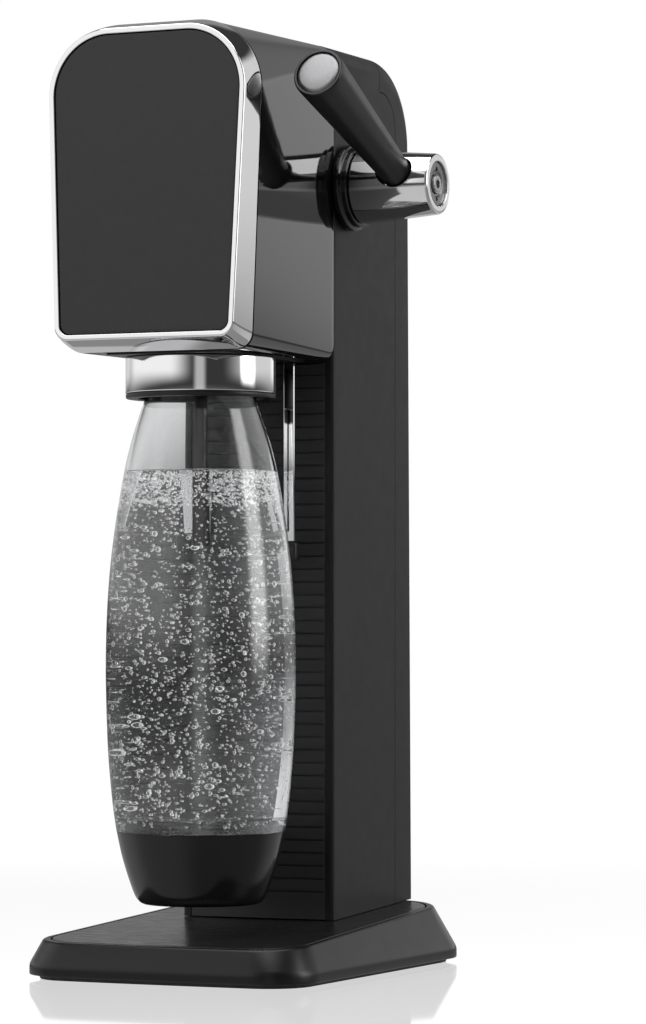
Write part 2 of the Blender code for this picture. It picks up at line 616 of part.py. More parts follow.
def make_lever(mats, axis):
    at = (0.0, LEVER_Y, LEVER_Z)
    collar = [(9.6, 39.9), (19.0, 39.9), (20.2, 41.0), (20.2, 43.4), (18.6, 44.0), (18.6, 46.9), (9.6, 46.9)]
    finish("lever_collar", lathe(collar, 32, True, "X", at), mats["gloss_black"])
    finish("lever_shaft", rod(5.0, -36.9, 80.0, "X", at, 24, 0.5), mats["steel"], axis)

    hub = finish("lever_hub", lathe([(5.3, HUB_X0), (HUB_R0, HUB_X0), (HUB_R1, HUB_X1 - 0.8),
                                     (HUB_R1 - 0.8, HUB_X1), (10.6, HUB_X1), (10.6, HUB_X1 - 2.8),
                                     (5.3, HUB_X1 - 2.8)], 36, True, "X", at), mats["chrome"], axis)
    root = turned_about_x(rod(GRIP_ROOT_R + 0.3, 8.0, 30.0, "Y", (GRIP_X, LEVER_Y, LEVER_Z), 28),
                          LEVER_Y, LEVER_Z, 180.0 - LEVER_REST)
    cut(hub, root, parent=axis)
    disc = [(4.6, HUB_X1 - 2.5), (10.3, HUB_X1 - 2.5), (10.3, HUB_X1 - 1.0), (4.6, HUB_X1 - 1.0)]
    finish("hub_cap_ring", lathe(disc, 36, True, "X", at), mats["chrome"], axis)
    screw = finish("hub_screw", rod(4.2, 80.4, HUB_X1 - 0.4, "X", at, 24, 0.5), mats["steel"], axis)
    cut(screw, lathe([(0, 84.0), (2.3, 84.0), (2.3, 90.0), (0, 90.0)], 6, axis="X", at=at), parent=axis)

    reach = GRIP_LENGTH
    grip = [(0, 8.4), (GRIP_ROOT_R, 8.4), (GRIP_ROOT_R, 16.0), (GRIP_TIP_R, reach - 1.0),
            (GRIP_TIP_R, reach - 0.8), (GRIP_TIP_R - 1.0, reach), (10.3, reach), (10.3, reach - 1.8),
            (0, reach - 1.8)]
    place = (GRIP_X, LEVER_Y, LEVER_Z)
    body = turned_about_x(lathe(grip, 28, axis="Y", at=place), LEVER_Y, LEVER_Z, 180.0 - LEVER_REST)
    finish("lever_grip", body, mats["satin_plastic"], axis)
    cap = [(0, reach - 1.5), (10.0, reach - 1.5), (10.0, reach - 0.5), (8.8, reach + 0.2), (5.0, reach + 0.5),
           (0, reach + 0.6)]
    body = turned_about_x(lathe(cap, 28, axis="Y", at=place), LEVER_Y, LEVER_Z, 180.0 - LEVER_REST)
    finish("grip_end_cap", body, mats["aluminium"], axis)

    crank = finish("lever_crank", pipe(5.3, 6.7, -5.0, 5.0, "X", at, 24), mats["steel"], axis)
    half, reach, droop = 3.5, 10.0, -25.0
    arm = box(-half, half, LEVER_Y + 5.8, LEVER_Y + reach, LEVER_Z - 3.0, LEVER_Z + 3.0)
    tip = rod(3.2, -half, half, "X", (0, LEVER_Y + reach, LEVER_Z), 16)
    arm, tip = [turned_about_x(bm, LEVER_Y, LEVER_Z, droop) for bm in (arm, tip)]
    join(crank, arm, tip, parent=axis)
    turns, per_turn = 4, 12
    coil = []
    for k in range(turns * per_turn + 1):
        a = 2 * pi * k / per_turn
        x = 12.0 + 12.0 * k / (turns * per_turn)
        coil.append((x, LEVER_Y + 7.2 * cos(a), LEVER_Z + 7.2 * sin(a)))
    finish("return_spring", sweep(coil, 0.8, 5), mats["steel"])


# ---------------------------------------------------------------- gas side

def make_gas(mats, cylinder_axis, handle_axis, rod_axis, rocker_axis, plunger_axis):
    body = [(0, CYL_BOTTOM + 2.0), (20.0, CYL_BOTTOM + 2.0), (24.0, CYL_BOTTOM), (27.0, CYL_BOTTOM),
            (CYL_R, CYL_BOTTOM + 3.0), (CYL_R, CYL_SHOULDER - 12.0)]
    body += [(16.0 + 14.0 * cos(radians(a)), CYL_SHOULDER - 12.0 + 18.0 * sin(radians(a)))
             for a in (25, 50, 75)]
    body += [(14.0, 326.0), (11.0, 328.0), (11.0, 340.0), (8.0, 340.0), (8.0, 325.0)]
    inner_r = CYL_R - CYL_WALL
    body += [(13.0 + (inner_r - 13.0) * cos(radians(a)), CYL_SHOULDER - 13.0 + 16.0 * sin(radians(a)))
             for a in (70, 35, 0)]
    body += [(inner_r, CYL_BOTTOM + 6.0), (24.0, CYL_BOTTOM + 4.0), (0, CYL_BOTTOM + 5.0)]
    finish("gas_cylinder", lathe(body, 28, at=(0, CYL_Y, 0)), mats["paint_grey"], cylinder_axis)
    stem = [(0, 340.3), (12.6, 340.3), (12.6, 362.0), (10.6, 364.0), (10.6, CYL_TOP - 1.0), (9.8, CYL_TOP),
            (3.0, CYL_TOP), (3.0, CYL_TOP - 4.0), (0, CYL_TOP - 4.0)]
    finish("cylinder_valve", lathe(stem, 20, at=(0, CYL_Y, 0)), mats["brass"], cylinder_axis)
    finish("cylinder_seal", pipe(3.4, 9.0, CYL_TOP + GAP, 386.4, at=(0, CYL_Y, 0), segments=24),
           mats["rubber"])

    block = finish("valve_block", box(-15, 15, 92.0, 121.0, 386.8, 406.0), mats["brass"])
    skirt = pipe(11.6, 15.0, 376.0, 388.0, at=(0, CYL_Y, 0), segments=28)
    shelf = box(-34.0, 34.0, 78.0, 93.0, 396.0, 400.0)
    ears = [box(s * 9.4 - 1.4, s * 9.4 + 1.4, 96.0, 104.0, 405.0, 421.0) for s in (-1, 1)]
    join(block, skirt, shelf, *ears)
    cut(block, rod(2.5, 380, 420, at=(0, CYL_Y, 0), segments=16),
        rod(2.9, 390, 410, at=(0, ROD_Y, 0), segments=16),
        rod(2.2, -20, 20, "X", (0, ROCKER_Y, ROCKER_Z), 16))
    finish("rocker_pin", rod(1.8, -12, 12, "X", (0, ROCKER_Y, ROCKER_Z), 16), mats["steel"])

    hub = pipe(2.2, 4.4, -6.5, 6.5, "X", (0, ROCKER_Y, ROCKER_Z), 20)
    rocker = finish("valve_rocker", hub, mats["steel"], rocker_axis)
    ahead = box(-4, 4, ROCKER_Y - 18.0, ROCKER_Y - 3.2, ROCKER_Z - 2.6, ROCKER_Z + 2.6)
    behind = box(-4, 4, ROCKER_Y + 3.2, ROCKER_Y + 10.0, ROCKER_Z - 2.6, ROCKER_Z + 2.6)
    arms = [turned_about_x(b, ROCKER_Y, ROCKER_Z, ROCKER_REST) for b in (ahead, behind)]
    join(rocker, *arms, parent=rocker_axis)
    finish("push_rod", rod(2.3, LEVER_Z - 0.2, 408.7, at=(0, ROD_Y, 0), segments=16, bevel=0.4),
           mats["steel"], rod_axis)
    finish("valve_plunger", rod(2.0, 385.0, 414.9, at=(0, CYL_Y, 0), segments=16, bevel=0.4),
           mats["steel"], plunger_axis)

    bar = box(-19.6, 19.6, 132.0, 137.5, HANDLE_Z - 3.0, HANDLE_Z + 3.0)
    handle = finish("cylinder_handle", bar, mats["satin_plastic"], handle_axis)
    arms = [box(s * 17.8 - 1.8, s * 17.8 + 1.8, CYL_Y - 4.0, 134.0, HANDLE_Z - 3.0, HANDLE_Z + 3.0)
            for s in (-1, 1)]
    join(handle, *arms, parent=handle_axis)
    cut(handle, rod(2.3, -30, 30, "X", (0, CYL_Y, HANDLE_Z), 16), parent=handle_axis)
    for name, side in (("handle_pin_left", -1), ("handle_pin_right", 1)):
        x0, x1 = sorted((side * 15.4, side * 20.6))
        finish(name, rod(1.9, x0, x1, "X", (0, CYL_Y, HANDLE_Z), 16), mats["steel"])
    make_hose(mats)


def make_hose(mats):
    """Hose from the valve block through the head to the holder's hollow pivot pin."""
    keys = [Vector(p) for p in ((-12, 91.4, 403), (-13, 78, 404), (-19, 55, 402), (-30, 30, 388),
                                (-35.6, 8, 352), (-36.0, -14, 316), (-36.2, -28, 298), (-36.2, -33, 290.5))]
    points = []
    for i in range(len(keys) - 1):
        p0, p1, p2 = keys[max(i - 1, 0)], keys[i], keys[i + 1]
        p3 = keys[min(i + 2, len(keys) - 1)]
        for k in range(3):
            t = k / 3
            points.append(0.5 * (2 * p1 + (p2 - p0) * t + (2 * p0 - 5 * p1 + 4 * p2 - p3) * t * t
                                 + (3 * p1 - p0 - 3 * p2 + p3) * t ** 3))
    points.append(keys[-1])
    finish("gas_hose", sweep(points, 2.2, 6), mats["rubber"])


# ---------------------------------------------------------------- assembly

def make_materials():
    return {
        "satin_black": material("satin black paint", (0.020, 0.020, 0.021), 0.38),
        "brushed_black": material("brushed black metal", (0.045, 0.045, 0.047), 0.35, 0.8),
        "matte_black": material("matte black paint", (0.030, 0.030, 0.031), 0.55),
        "gloss_black": material("gloss black", (0.012, 0.012, 0.013), 0.08),
        "matte_plastic": material("black plastic", (0.022, 0.022, 0.023), 0.5),
        "satin_plastic": material("satin black grip", (0.018, 0.018, 0.019), 0.35),
        "rubber": material("rubber", (0.02, 0.02, 0.02), 0.8),
        "chrome": material("polished chrome", (0.78, 0.78, 0.79), 0.06, 1.0),
        "aluminium": material("satin aluminium", (0.62, 0.62, 0.63), 0.32, 1.0),
        "steel": material("steel", (0.45, 0.45, 0.46), 0.35, 1.0),
        "brass": material("brass", (0.72, 0.52, 0.24), 0.3, 1.0),
        "paint_grey": material("painted steel cylinder", (0.42, 0.43, 0.45), 0.35),
        "clear": material("clear bottle plastic", (0.92, 0.95, 0.96), 0.03, 0.0, 1.0),
    }


def main():
    clear_scene()
    mats = make_materials()
    holder_axis = empty("holder_tilt_axis", HOLDER_PIVOT)
    bottle_axis = empty("bottle_slide_axis", (0, 0, MOUTH_TOP))
    lever_axis = empty("lever_axis", (0, LEVER_Y, LEVER_Z))
    cylinder_axis = empty("cylinder_slide_axis", (0, CYL_Y, CYL_TOP))
    handle_axis = empty("handle_axis", (0, CYL_Y, HANDLE_Z))
    rod_axis = empty("push_rod_axis", (0, ROD_Y, 390.0))
    rocker_axis = empty("rocker_axis", (0, ROCKER_Y, ROCKER_Z))
    plunger_axis = empty("plunger_axis", (0, CYL_Y, 400.0))
    make_base(mats)
    make_column(mats)
    make_head(mats)
    make_holder(mats, holder_axis)
    make_bottle(mats, bottle_axis)
    make_lever(mats, lever_axis)
    make_gas(mats, cylinder_axis, handle_axis, rod_axis, rocker_axis, plunger_axis)


main()
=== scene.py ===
import json
import random
from math import cos, pi, radians, sin, sqrt, tau

import bmesh
import bpy
from mathutils import Matrix, Vector


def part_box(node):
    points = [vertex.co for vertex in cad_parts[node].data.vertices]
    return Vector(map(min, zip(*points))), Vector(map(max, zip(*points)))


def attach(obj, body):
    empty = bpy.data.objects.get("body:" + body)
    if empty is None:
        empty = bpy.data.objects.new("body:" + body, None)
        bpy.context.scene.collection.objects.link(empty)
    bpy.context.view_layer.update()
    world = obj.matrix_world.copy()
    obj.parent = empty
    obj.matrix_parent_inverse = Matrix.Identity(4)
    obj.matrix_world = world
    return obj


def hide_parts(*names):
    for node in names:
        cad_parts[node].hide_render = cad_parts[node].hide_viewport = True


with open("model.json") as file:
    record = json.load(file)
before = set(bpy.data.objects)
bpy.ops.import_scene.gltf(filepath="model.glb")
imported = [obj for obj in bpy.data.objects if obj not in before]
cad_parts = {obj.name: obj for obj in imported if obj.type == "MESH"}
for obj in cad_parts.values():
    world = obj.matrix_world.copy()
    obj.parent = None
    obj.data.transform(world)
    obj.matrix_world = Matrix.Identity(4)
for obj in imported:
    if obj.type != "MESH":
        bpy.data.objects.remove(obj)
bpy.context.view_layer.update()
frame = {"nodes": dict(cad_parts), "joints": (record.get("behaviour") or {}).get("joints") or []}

MM = 0.001
SEAM = 0.3                     # gap between pieces that touch


def span(node):
    """Lowest and highest corner of a CAD node."""
    low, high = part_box(node)
    return low / MM, high / MM


def pivot(joint):
    """Where a joint's axis passes."""
    found = next(j for j in frame["joints"] if j["name"] == joint)
    return Vector(found["pos_m"]) / MM


# ---------------------------------------------------------------- camera

CAMERA_AZIMUTH = radians(25.0)     # round the object from the front, towards the lever
CAMERA_DISTANCE = 1.932            # metres, as are the next two
CAMERA_ASIDE = -0.0559             # the bottle stands left of the camera's own axis
CAMERA_HEIGHT = 0.1628
CAMERA_LENS = 148.4                # on a sensor 36 wide
CAMERA_RISE = 0.107                # lens shift, so that uprights stay upright


def make_camera():
    data = bpy.data.cameras.new("camera")
    data.lens = CAMERA_LENS
    data.sensor_width = 36.0
    data.shift_y = CAMERA_RISE
    data.clip_start, data.clip_end = 0.05, 50.0
    camera = bpy.data.objects.new("camera", data)
    ahead = Vector((-sin(CAMERA_AZIMUTH), cos(CAMERA_AZIMUTH), 0.0))
    right = Vector((cos(CAMERA_AZIMUTH), sin(CAMERA_AZIMUTH), 0.0))
    camera.location = -CAMERA_DISTANCE * ahead - CAMERA_ASIDE * right
    camera.location.z = CAMERA_HEIGHT
    camera.rotation_euler = (radians(90.0), 0.0, CAMERA_AZIMUTH)
    bpy.context.scene.collection.objects.link(camera)
    bpy.context.scene.camera = camera


# ---------------------------------------------------------------- mesh helpers

def soften(path, radii, closed=False, steps=4):
    """Round the corners of a path: each corner's radius is how far the round reaches along its sides."""
    pts = [Vector(p) for p in path]
    count = len(pts)
    out = []
    for i, (p, reach) in enumerate(zip(pts, radii)):
        if reach <= 0 or (not closed and i in (0, count - 1)):
            out.append(p)
            continue
        before, after = pts[i - 1] - p, pts[(i + 1) % count] - p
        a = p + before.normalized() * min(reach, before.length * 0.48)
        b = p + after.normalized() * min(reach, after.length * 0.48)
        for k in range(steps + 1):
            t = k / steps
            out.append((1 - t) ** 2 * a + 2 * t * (1 - t) * p + t * t * b)
    return out


def curve_through(points, steps):
    """Smooth curve through points, read at 'steps' places a span."""
    pts = [Vector(p) for p in points]
    out = []
    for i in range(len(pts) - 1):
        p0, p1, p2 = pts[max(i - 1, 0)], pts[i], pts[i + 1]
        p3 = pts[min(i + 2, len(pts) - 1)]
        for k in range(steps):
            t = k / steps
            out.append(0.5 * (2 * p1 + (p2 - p0) * t + (2 * p0 - 5 * p1 + 4 * p2 - p3) * t * t
                              + (3 * p1 - p0 - 3 * p2 + p3) * t ** 3))
    out.append(pts[-1])
    return out


def smooth_line(points, steps):
    """Smooth curve through (radius, height) points."""
    return [(p.x, p.y) for p in curve_through([(r, h, 0.0) for r, h in points], steps)]


def loft(loops, closed=False):
    """Skin equal-length loops; the ends are capped, or joined when closed."""
    bm = bmesh.new()
    rings = [[bm.verts.new(p) for p in loop] for loop in loops]
    count = len(rings[0])
    pairs = list(zip(rings, rings[1:]))
    if closed:
        pairs.append((rings[-1], rings[0]))
    for low, high in pairs:
        for i in range(count):
            j = (i + 1) % count
            bm.faces.new((low[i], low[j], high[j], high[i]))
    if not closed:
        bm.faces.new(rings[0])
        bm.faces.new(rings[-1])
    return bm


def soft_loft(loops, radii, closed=False, steps=4):
    """Loft whose edges along the loops are rounded by 'radii'."""
    paths = [soften(path, radii, closed, steps) for path in zip(*loops)]
    return loft(list(zip(*paths)), closed)


def lathe(profile, segments=96, closed=False, axis="Z", at=(0.0, 0.0, 0.0)):
    """Turn (radius, height) points. An open profile starts and ends on the axis."""
    bm = bmesh.new()
    rings = []
    for r, h in profile:
        if r < 1e-6:
            rings.append([bm.verts.new((0.0, 0.0, h))])
            continue
        rings.append([bm.verts.new((r * cos(tau * k / segments), r * sin(tau * k / segments), h))
                      for k in range(segments)])
    pairs = list(zip(rings, rings[1:]))
    if closed:
        pairs.append((rings[-1], rings[0]))
    for low, high in pairs:
        for k in range(segments):
            n = (k + 1) % segments
            corners = [low[k % len(low)], low[n % len(low)], high[n % len(high)], high[k % len(high)]]
            bm.faces.new(list(dict.fromkeys(corners)))
    turn = {"Z": Matrix.Identity(4), "X": Matrix.Rotation(pi / 2, 4, "Y"),
            "Y": Matrix.Rotation(-pi / 2, 4, "X")}[axis]
    bm.transform(Matrix.Translation(at) @ turn)
    return bm


def soft_section(corners, closed=False, steps=4):
    """Outline through (radius, height, rounding) corners, as (radius, height) points."""
    path = soften([(r, h, 0.0) for r, h, _ in corners], [c[2] for c in corners], closed, steps)
    return [(p.x, p.y) for p in path]


def turned(corners, segments=96, closed=False, axis="Z", at=(0.0, 0.0, 0.0), steps=4):
    """Lathe whose (radius, height, rounding) corners are softened."""
    return lathe(soft_section(corners, closed, steps), segments, closed, axis, at)


def block(low, high, rounding=0.0, segments=3):
    """Box between two corners with all its edges rounded."""
    bm = bmesh.new()
    bmesh.ops.create_cube(bm, size=1.0)
    low, high = Vector(low), Vector(high)
    size = Matrix.Diagonal((*(high - low), 1.0))
    bm.transform(Matrix.Translation((low + high) / 2) @ size)
    if rounding:
        bmesh.ops.bevel(bm, geom=list(bm.edges), offset=rounding, segments=segments, profile=0.5,
                        affect="EDGES")
    return bm


def arc(cx, cy, r, a0, a1, steps):
    for k in range(steps + 1):
        a = radians(a0 + (a1 - a0) * k / steps)
        yield cx + r * cos(a), cy + r * sin(a)


def object_from(name, bm):
    bmesh.ops.remove_doubles(bm, verts=bm.verts, dist=1e-4)
    bmesh.ops.recalc_face_normals(bm, faces=bm.faces)
    bm.transform(Matrix.Scale(MM, 4))
    mesh = bpy.data.meshes.new(name)
    bm.to_mesh(mesh)
    bm.free()
    obj = bpy.data.objects.new(name, mesh)
    bpy.context.scene.collection.objects.link(obj)
    return obj


def carve(obj, shapes, operation="DIFFERENCE"):
    """Cut shapes from an object and keep the result as its mesh."""
    tools = []
    for i, bm in enumerate(shapes):
        tool = object_from(f"{obj.name}.tool{i}", bm)
        modifier = obj.modifiers.new(f"cut{i}", "BOOLEAN")
        modifier.operation = operation
        modifier.object = tool
        modifier.solver = "EXACT"
        tools.append(tool)
    done = obj.evaluated_get(bpy.context.evaluated_depsgraph_get())
    mesh = bpy.data.meshes.new_from_object(done)
    obj.modifiers.clear()
    obj.data = mesh
    for tool in tools:
        bpy.data.objects.remove(tool)


def piece(name, bm, finish, body, stands_for=(), cuts=(), keep=None, sharp=35.0):
    """A visible piece: it rides on a body, and stands for the CAD nodes it refines."""
    obj = object_from(name, bm)
    if keep:
        carve(obj, [keep], "INTERSECT")
    if cuts:
        carve(obj, cuts)
    obj.data.shade_smooth()
    obj.data.set_sharp_from_angle(angle=radians(sharp))
    obj.data.materials.clear()
    obj.data.materials.append(finish)
    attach(obj, body)
    if stands_for:
        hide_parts(*stands_for)
    return obj


# ---------------------------------------------------------------- materials

class Finish:
    """A Principled material whose detail is added step by step."""

    def __init__(self, name, colour, roughness, metallic=0.0, **sockets):
        self.material = bpy.data.materials.new(name)
        self.material.use_nodes = True
        self.nodes = self.material.node_tree.nodes
        self.link = self.material.node_tree.links.new
        self.shader = self.nodes["Principled BSDF"]
        self.colour, self.roughness = colour, roughness
        self.shader.inputs["Base Color"].default_value = (*colour, 1.0)
        self.shader.inputs["Roughness"].default_value = roughness
        self.shader.inputs["Metallic"].default_value = metallic
        for socket, value in sockets.items():
            self.shader.inputs[socket.replace("_", " ")].default_value = value
        self.height = None

    def node(self, kind, **settings):
        made = self.nodes.new(kind)
        for key, value in settings.items():
            setattr(made, key, value)
        return made

    def noise(self, per_metre, detail=3.0, stretch=(1.0, 1.0, 1.0)):
        """Noise with 'per_metre' grains to the metre, in the object's own space."""
        where = self.node("ShaderNodeTexCoord")
        scaled = self.node("ShaderNodeMapping")
        scaled.inputs["Scale"].default_value = stretch
        grain = self.node("ShaderNodeTexNoise")
        grain.inputs["Scale"].default_value = per_metre
        grain.inputs["Detail"].default_value = detail
        self.link(where.outputs["Object"], scaled.inputs["Vector"])
        self.link(scaled.outputs["Vector"], grain.inputs["Vector"])
        return grain.outputs["Fac"]

    def spread(self, value, low, high, centre=0.5, half=0.2):
        """Map a noise value to the range low..high."""
        ramp = self.node("ShaderNodeMapRange")
        ramp.inputs["From Min"].default_value = centre - half
        ramp.inputs["From Max"].default_value = centre + half
        ramp.inputs["To Min"].default_value = low
        ramp.inputs["To Max"].default_value = high
        self.link(value, ramp.inputs["Value"])
        return ramp.outputs["Result"]

    def worn(self, amount, per_metre=35.0, stretch=(1.0, 1.0, 1.0), detail=4.0):
        """Roughness that wanders by 'amount', as from handling."""
        low, high = max(self.roughness - amount, 0.01), self.roughness + amount
        self.link(self.spread(self.noise(per_metre, detail, stretch), low, high),
                  self.shader.inputs["Roughness"])
        return self

    def tinted(self, amount, per_metre=60.0, stretch=(1.0, 1.0, 1.0)):
        """Colour that wanders by a share 'amount'."""
        mix = self.node("ShaderNodeMix", data_type="RGBA")
        dark = tuple(c * (1 - amount) for c in self.colour)
        light = tuple(min(c * (1 + amount), 1.0) for c in self.colour)
        mix.inputs[6].default_value = (*dark, 1.0)
        mix.inputs[7].default_value = (*light, 1.0)
        self.link(self.spread(self.noise(per_metre, 3.0, stretch), 0.0, 1.0), mix.inputs[0])
        self.link(mix.outputs[2], self.shader.inputs["Base Color"])
        return self

    def grained(self, per_metre, depth_mm, stretch=(1.0, 1.0, 1.0), detail=2.0, strength=1.0):
        """Bump from noise; a second call lies on the first."""
        bump = self.node("ShaderNodeBump")
        bump.inputs["Strength"].default_value = strength
        bump.inputs["Distance"].default_value = depth_mm * MM
        self.link(self.noise(per_metre, detail, stretch), bump.inputs["Height"])
        if self.height:
            self.link(self.height, bump.inputs["Normal"])
        self.height = bump.outputs["Normal"]
        self.link(self.height, self.shader.inputs["Normal"])
        return self


def moulded(name, level, roughness, grain=2600.0, depth=0.012, sheen=0.5):
    """Moulded or painted plastic: fine texture, faint tint and handling marks."""
    finish = Finish(name, (level, level, level * 1.03), roughness, Specular_IOR_Level=sheen)
    return finish.worn(0.03, 120.0).tinted(0.06, 400.0).grained(grain, depth).material


def gloss_black():
    """Deep lacquer: a clear coat with the faintest orange peel and smudges."""
    finish = Finish("gloss_black_lacquer", (0.006, 0.006, 0.0065), 0.05, Specular_IOR_Level=0.6)
    return finish.worn(0.02, 14.0).tinted(0.2, 30.0).grained(140.0, 0.004, detail=1.0).material


def polished_chrome():
    finish = Finish("polished_chrome", (0.86, 0.86, 0.87), 0.045, 1.0)
    return finish.worn(0.02, 40.0).tinted(0.02, 25.0).grained(500.0, 0.0006).material


def brushed_plate():
    """Dark anodised sheet, brushed from side to side."""
    along = (0.03, 1.0, 1.0)
    finish = Finish("brushed_dark_sheet", (0.062, 0.062, 0.064), 0.30, 0.85)
    return finish.worn(0.09, 3200.0, along, 2.0).tinted(0.18, 2400.0, along).grained(
        3600.0, 0.006, along).material


def satin_aluminium():
    finish = Finish("satin_aluminium", (0.25, 0.25, 0.255), 0.36, 1.0)
    return finish.worn(0.05, 2200.0).tinted(0.04, 900.0).grained(4200.0, 0.004).material


def machined(name, colour, roughness):
    finish = Finish(name, colour, roughness, 1.0)
    return finish.worn(0.08, 300.0).tinted(0.08, 120.0).grained(1800.0, 0.006).material


def rubber():
    finish = Finish("black_rubber", (0.012, 0.012, 0.012), 0.72)
    return finish.worn(0.08, 200.0).tinted(0.2, 150.0).grained(2400.0, 0.03).material


def cylinder_paint():
    finish = Finish("grey_cylinder_paint", (0.40, 0.41, 0.43), 0.32)
    return finish.worn(0.06, 60.0).tinted(0.05, 40.0).grained(900.0, 0.01).material


def clear_plastic():
    finish = Finish("clear_bottle_plastic", (0.99, 0.995, 1.0), 0.02, IOR=1.5,
                    Transmission_Weight=1.0)
    return finish.worn(0.012, 30.0).grained(45.0, 0.02, detail=1.0).material


def water():
    finish = Finish("water", (0.985, 0.99, 0.995), 0.0, IOR=1.33, Transmission_Weight=1.0)
    return finish.grained(60.0, 0.01, detail=1.0).material


def bubble_skin_painted_glow():
    """Gas in water with a painted glow: emission that rises towards the rim stands in for light gathered
    from all round; the middle stays clear.
    """
    finish = Finish("bubble_skin_painted_glow", (1.0, 1.0, 1.0), 0.02, IOR=1.33, Transmission_Weight=1.0)
    # Painted glow: emission strength follows Layer Weight facing, bright at the rim and faint in the middle,
    # so the bubbles give off light of their own.
    edge = finish.node("ShaderNodeLayerWeight")
    edge.inputs["Blend"].default_value = 0.35
    painted_rim_glow = finish.spread(edge.outputs["Facing"], 0.02, 0.7, centre=0.45, half=0.2)
    finish.link(painted_rim_glow, finish.shader.inputs["Emission Strength"])
    finish.shader.inputs["Emission Color"].default_value = (1.0, 1.0, 1.0, 1.0)
    return finish.tinted(0.02, 400.0).material


def make_finishes():
    return {
        "base_paint": moulded("satin_black_paint", 0.005, 0.32, 1800.0, 0.006, 0.4),
        "column_paint": moulded("matte_black_paint", 0.011, 0.48, sheen=0.33),
        "grille_plastic": moulded("matte_black_grille", 0.034, 0.50),
        "panel_plastic": moulded("soft_black_panel", 0.026, 0.48, 3200.0, 0.010),
        "plastic": moulded("black_plastic", 0.008, 0.40, 2200.0, 0.010),
        "cup_plastic": moulded("satin_black_cup", 0.010, 0.16, 1600.0, 0.002, 0.35),
        "grip_plastic": moulded("satin_black_grip", 0.009, 0.36, 3000.0, 0.008),
        "gloss": gloss_black(),
        "chrome": polished_chrome(),
        "plate": brushed_plate(),
        "aluminium": satin_aluminium(),
        "steel": machined("machined_steel", (0.46, 0.46, 0.47), 0.32),
        "brass": machined("machined_brass", (0.74, 0.54, 0.26), 0.28),
        "rubber": rubber(),
        "cylinder": cylinder_paint(),
        "clear": clear_plastic(),
        "water": water(),
        "bubbles": bubble_skin_painted_glow(),
    }


# ---------------------------------------------------------------- base

BASE_LOW, BASE_HIGH = span("base_frame")
BASE_BOW = 2.0                 # bulge of the front edge
BASE_HALF_W = BASE_HIGH.x
BASE_FRONT, BASE_REAR = BASE_LOW.y + BASE_BOW, BASE_HIGH.y
FRONT_CORNER, REAR_CORNER = 23.5, 35.0
LIP_TOP = 6.8                  # the wall leans in above this height
TOP_FRONT_Z, TOP_REAR_Z = 17.0, 28.3
SIDE_TAPER = 0.46              # inset per height above the lip
RIM_W, GROOVE_W, PLATE_T = 2.6, 0.7, 1.4


def plate_z(y):
    """Height of the sloping top of the base."""
    return TOP_FRONT_Z + (TOP_REAR_Z - TOP_FRONT_Z) * (y - BASE_FRONT) / (BASE_REAR - BASE_FRONT)


def base_outline(inset, corner_steps=18, edge_steps=20):
    """Plan of the base: a rounded rectangle with a slightly bowed front edge."""
    w, f, r = BASE_HALF_W - inset, BASE_FRONT + inset, BASE_REAR - inset
    back, fore = REAR_CORNER - inset, FRONT_CORNER - inset
    pts = list(arc(w - back, r - back, back, 0, 90, corner_steps))
    pts += list(arc(-w + back, r - back, back, 90, 180, corner_steps))
    pts += list(arc(-w + fore, f + fore, fore, 180, 270, corner_steps))
    half = w - fore
    pts += [(-half + 2 * half * k / edge_steps, f) for k in range(1, edge_steps)]
    pts += list(arc(w - fore, f + fore, fore, 270, 360, corner_steps))
    middle = (BASE_FRONT + BASE_REAR) / 2
    out = []
    for x, y in pts:
        front = max(0.0, min(1.0, (middle - y) / (middle - f)))
        out.append((x, y - BASE_BOW * (1 - (x / w) ** 2) * front ** 6))
    return out


def level_loop(z, inset=0.0):
    return [(x, y, z) for x, y in base_outline(inset)]


def sloping_loop(inset, drop):
    """Loop under the sloping top, drawn in by the taper of the walls."""
    middle, half = (BASE_FRONT + BASE_REAR) / 2, (BASE_REAR - BASE_FRONT) / 2
    loop = []
    for x, y in base_outline(0.0):
        taper = SIDE_TAPER * (plate_z(y) - LIP_TOP) + inset
        new_y = middle + (y - middle) * (1 - taper / half)
        loop.append((x * (1 - taper / BASE_HALF_W), new_y, plate_z(new_y) - drop))
    return loop


def make_base(finishes):
    wall = 2.6
    seat = PLATE_T + SEAM
    loops = [sloping_loop(wall, seat + 1.5), level_loop(LIP_TOP, wall), level_loop(BASE_LOW.z, wall),
             level_loop(BASE_LOW.z), level_loop(LIP_TOP), sloping_loop(0.0, 0.0),
             sloping_loop(RIM_W, 0.0), sloping_loop(RIM_W, seat)]
    radii = [0, 0, 0, 0.6, 1.6, 1.1, 0.3, 0]
    piece("base_body", soft_loft(loops, radii), finishes["base_paint"], "machine", ["base_frame"])
    edge = RIM_W + GROOVE_W
    loops = [sloping_loop(edge, PLATE_T), sloping_loop(edge, 0.0), sloping_loop(edge + 2.0, 0.0)]
    piece("base_plate", soft_loft(loops, [0, 0.5, 0]), finishes["plate"], "machine",
          ["base_top_plate"])


# ---------------------------------------------------------------- column

COL_LOW, COL_HIGH = span("column_shell")
COVER_HIGH = span("rear_cover")[1]
GRILLE_LOW, GRILLE_HIGH = span("column_grille")
HOUSING_LOW, HOUSING_HIGH = span("head_housing")
LEVER_AXIS = pivot("lever_press")
COL_HALF_W = COL_HIGH.x
REAR_FLARE = 4.5               # the rear face stands this much further back at its foot
COL_FRONT, COL_REAR = COL_LOW.y, COVER_HIGH.y - REAR_FLARE
MACHINE_TOP = COL_HIGH.z
WALL = 2.0
TOP_ARC = 33.0                 # rounding of the top rear corner
COVER_DEPTH = 16.5             # rear cover, from its seam to the rear face
SHOULDER = 9.0                 # rounding of the two top side edges
SIDE_EDGE = 2.2                # rounding of the upright edges
SHAFT_HOLE_R = 9.0
ARC_Y, ARC_Z = COL_REAR - TOP_ARC, MACHINE_TOP - TOP_ARC


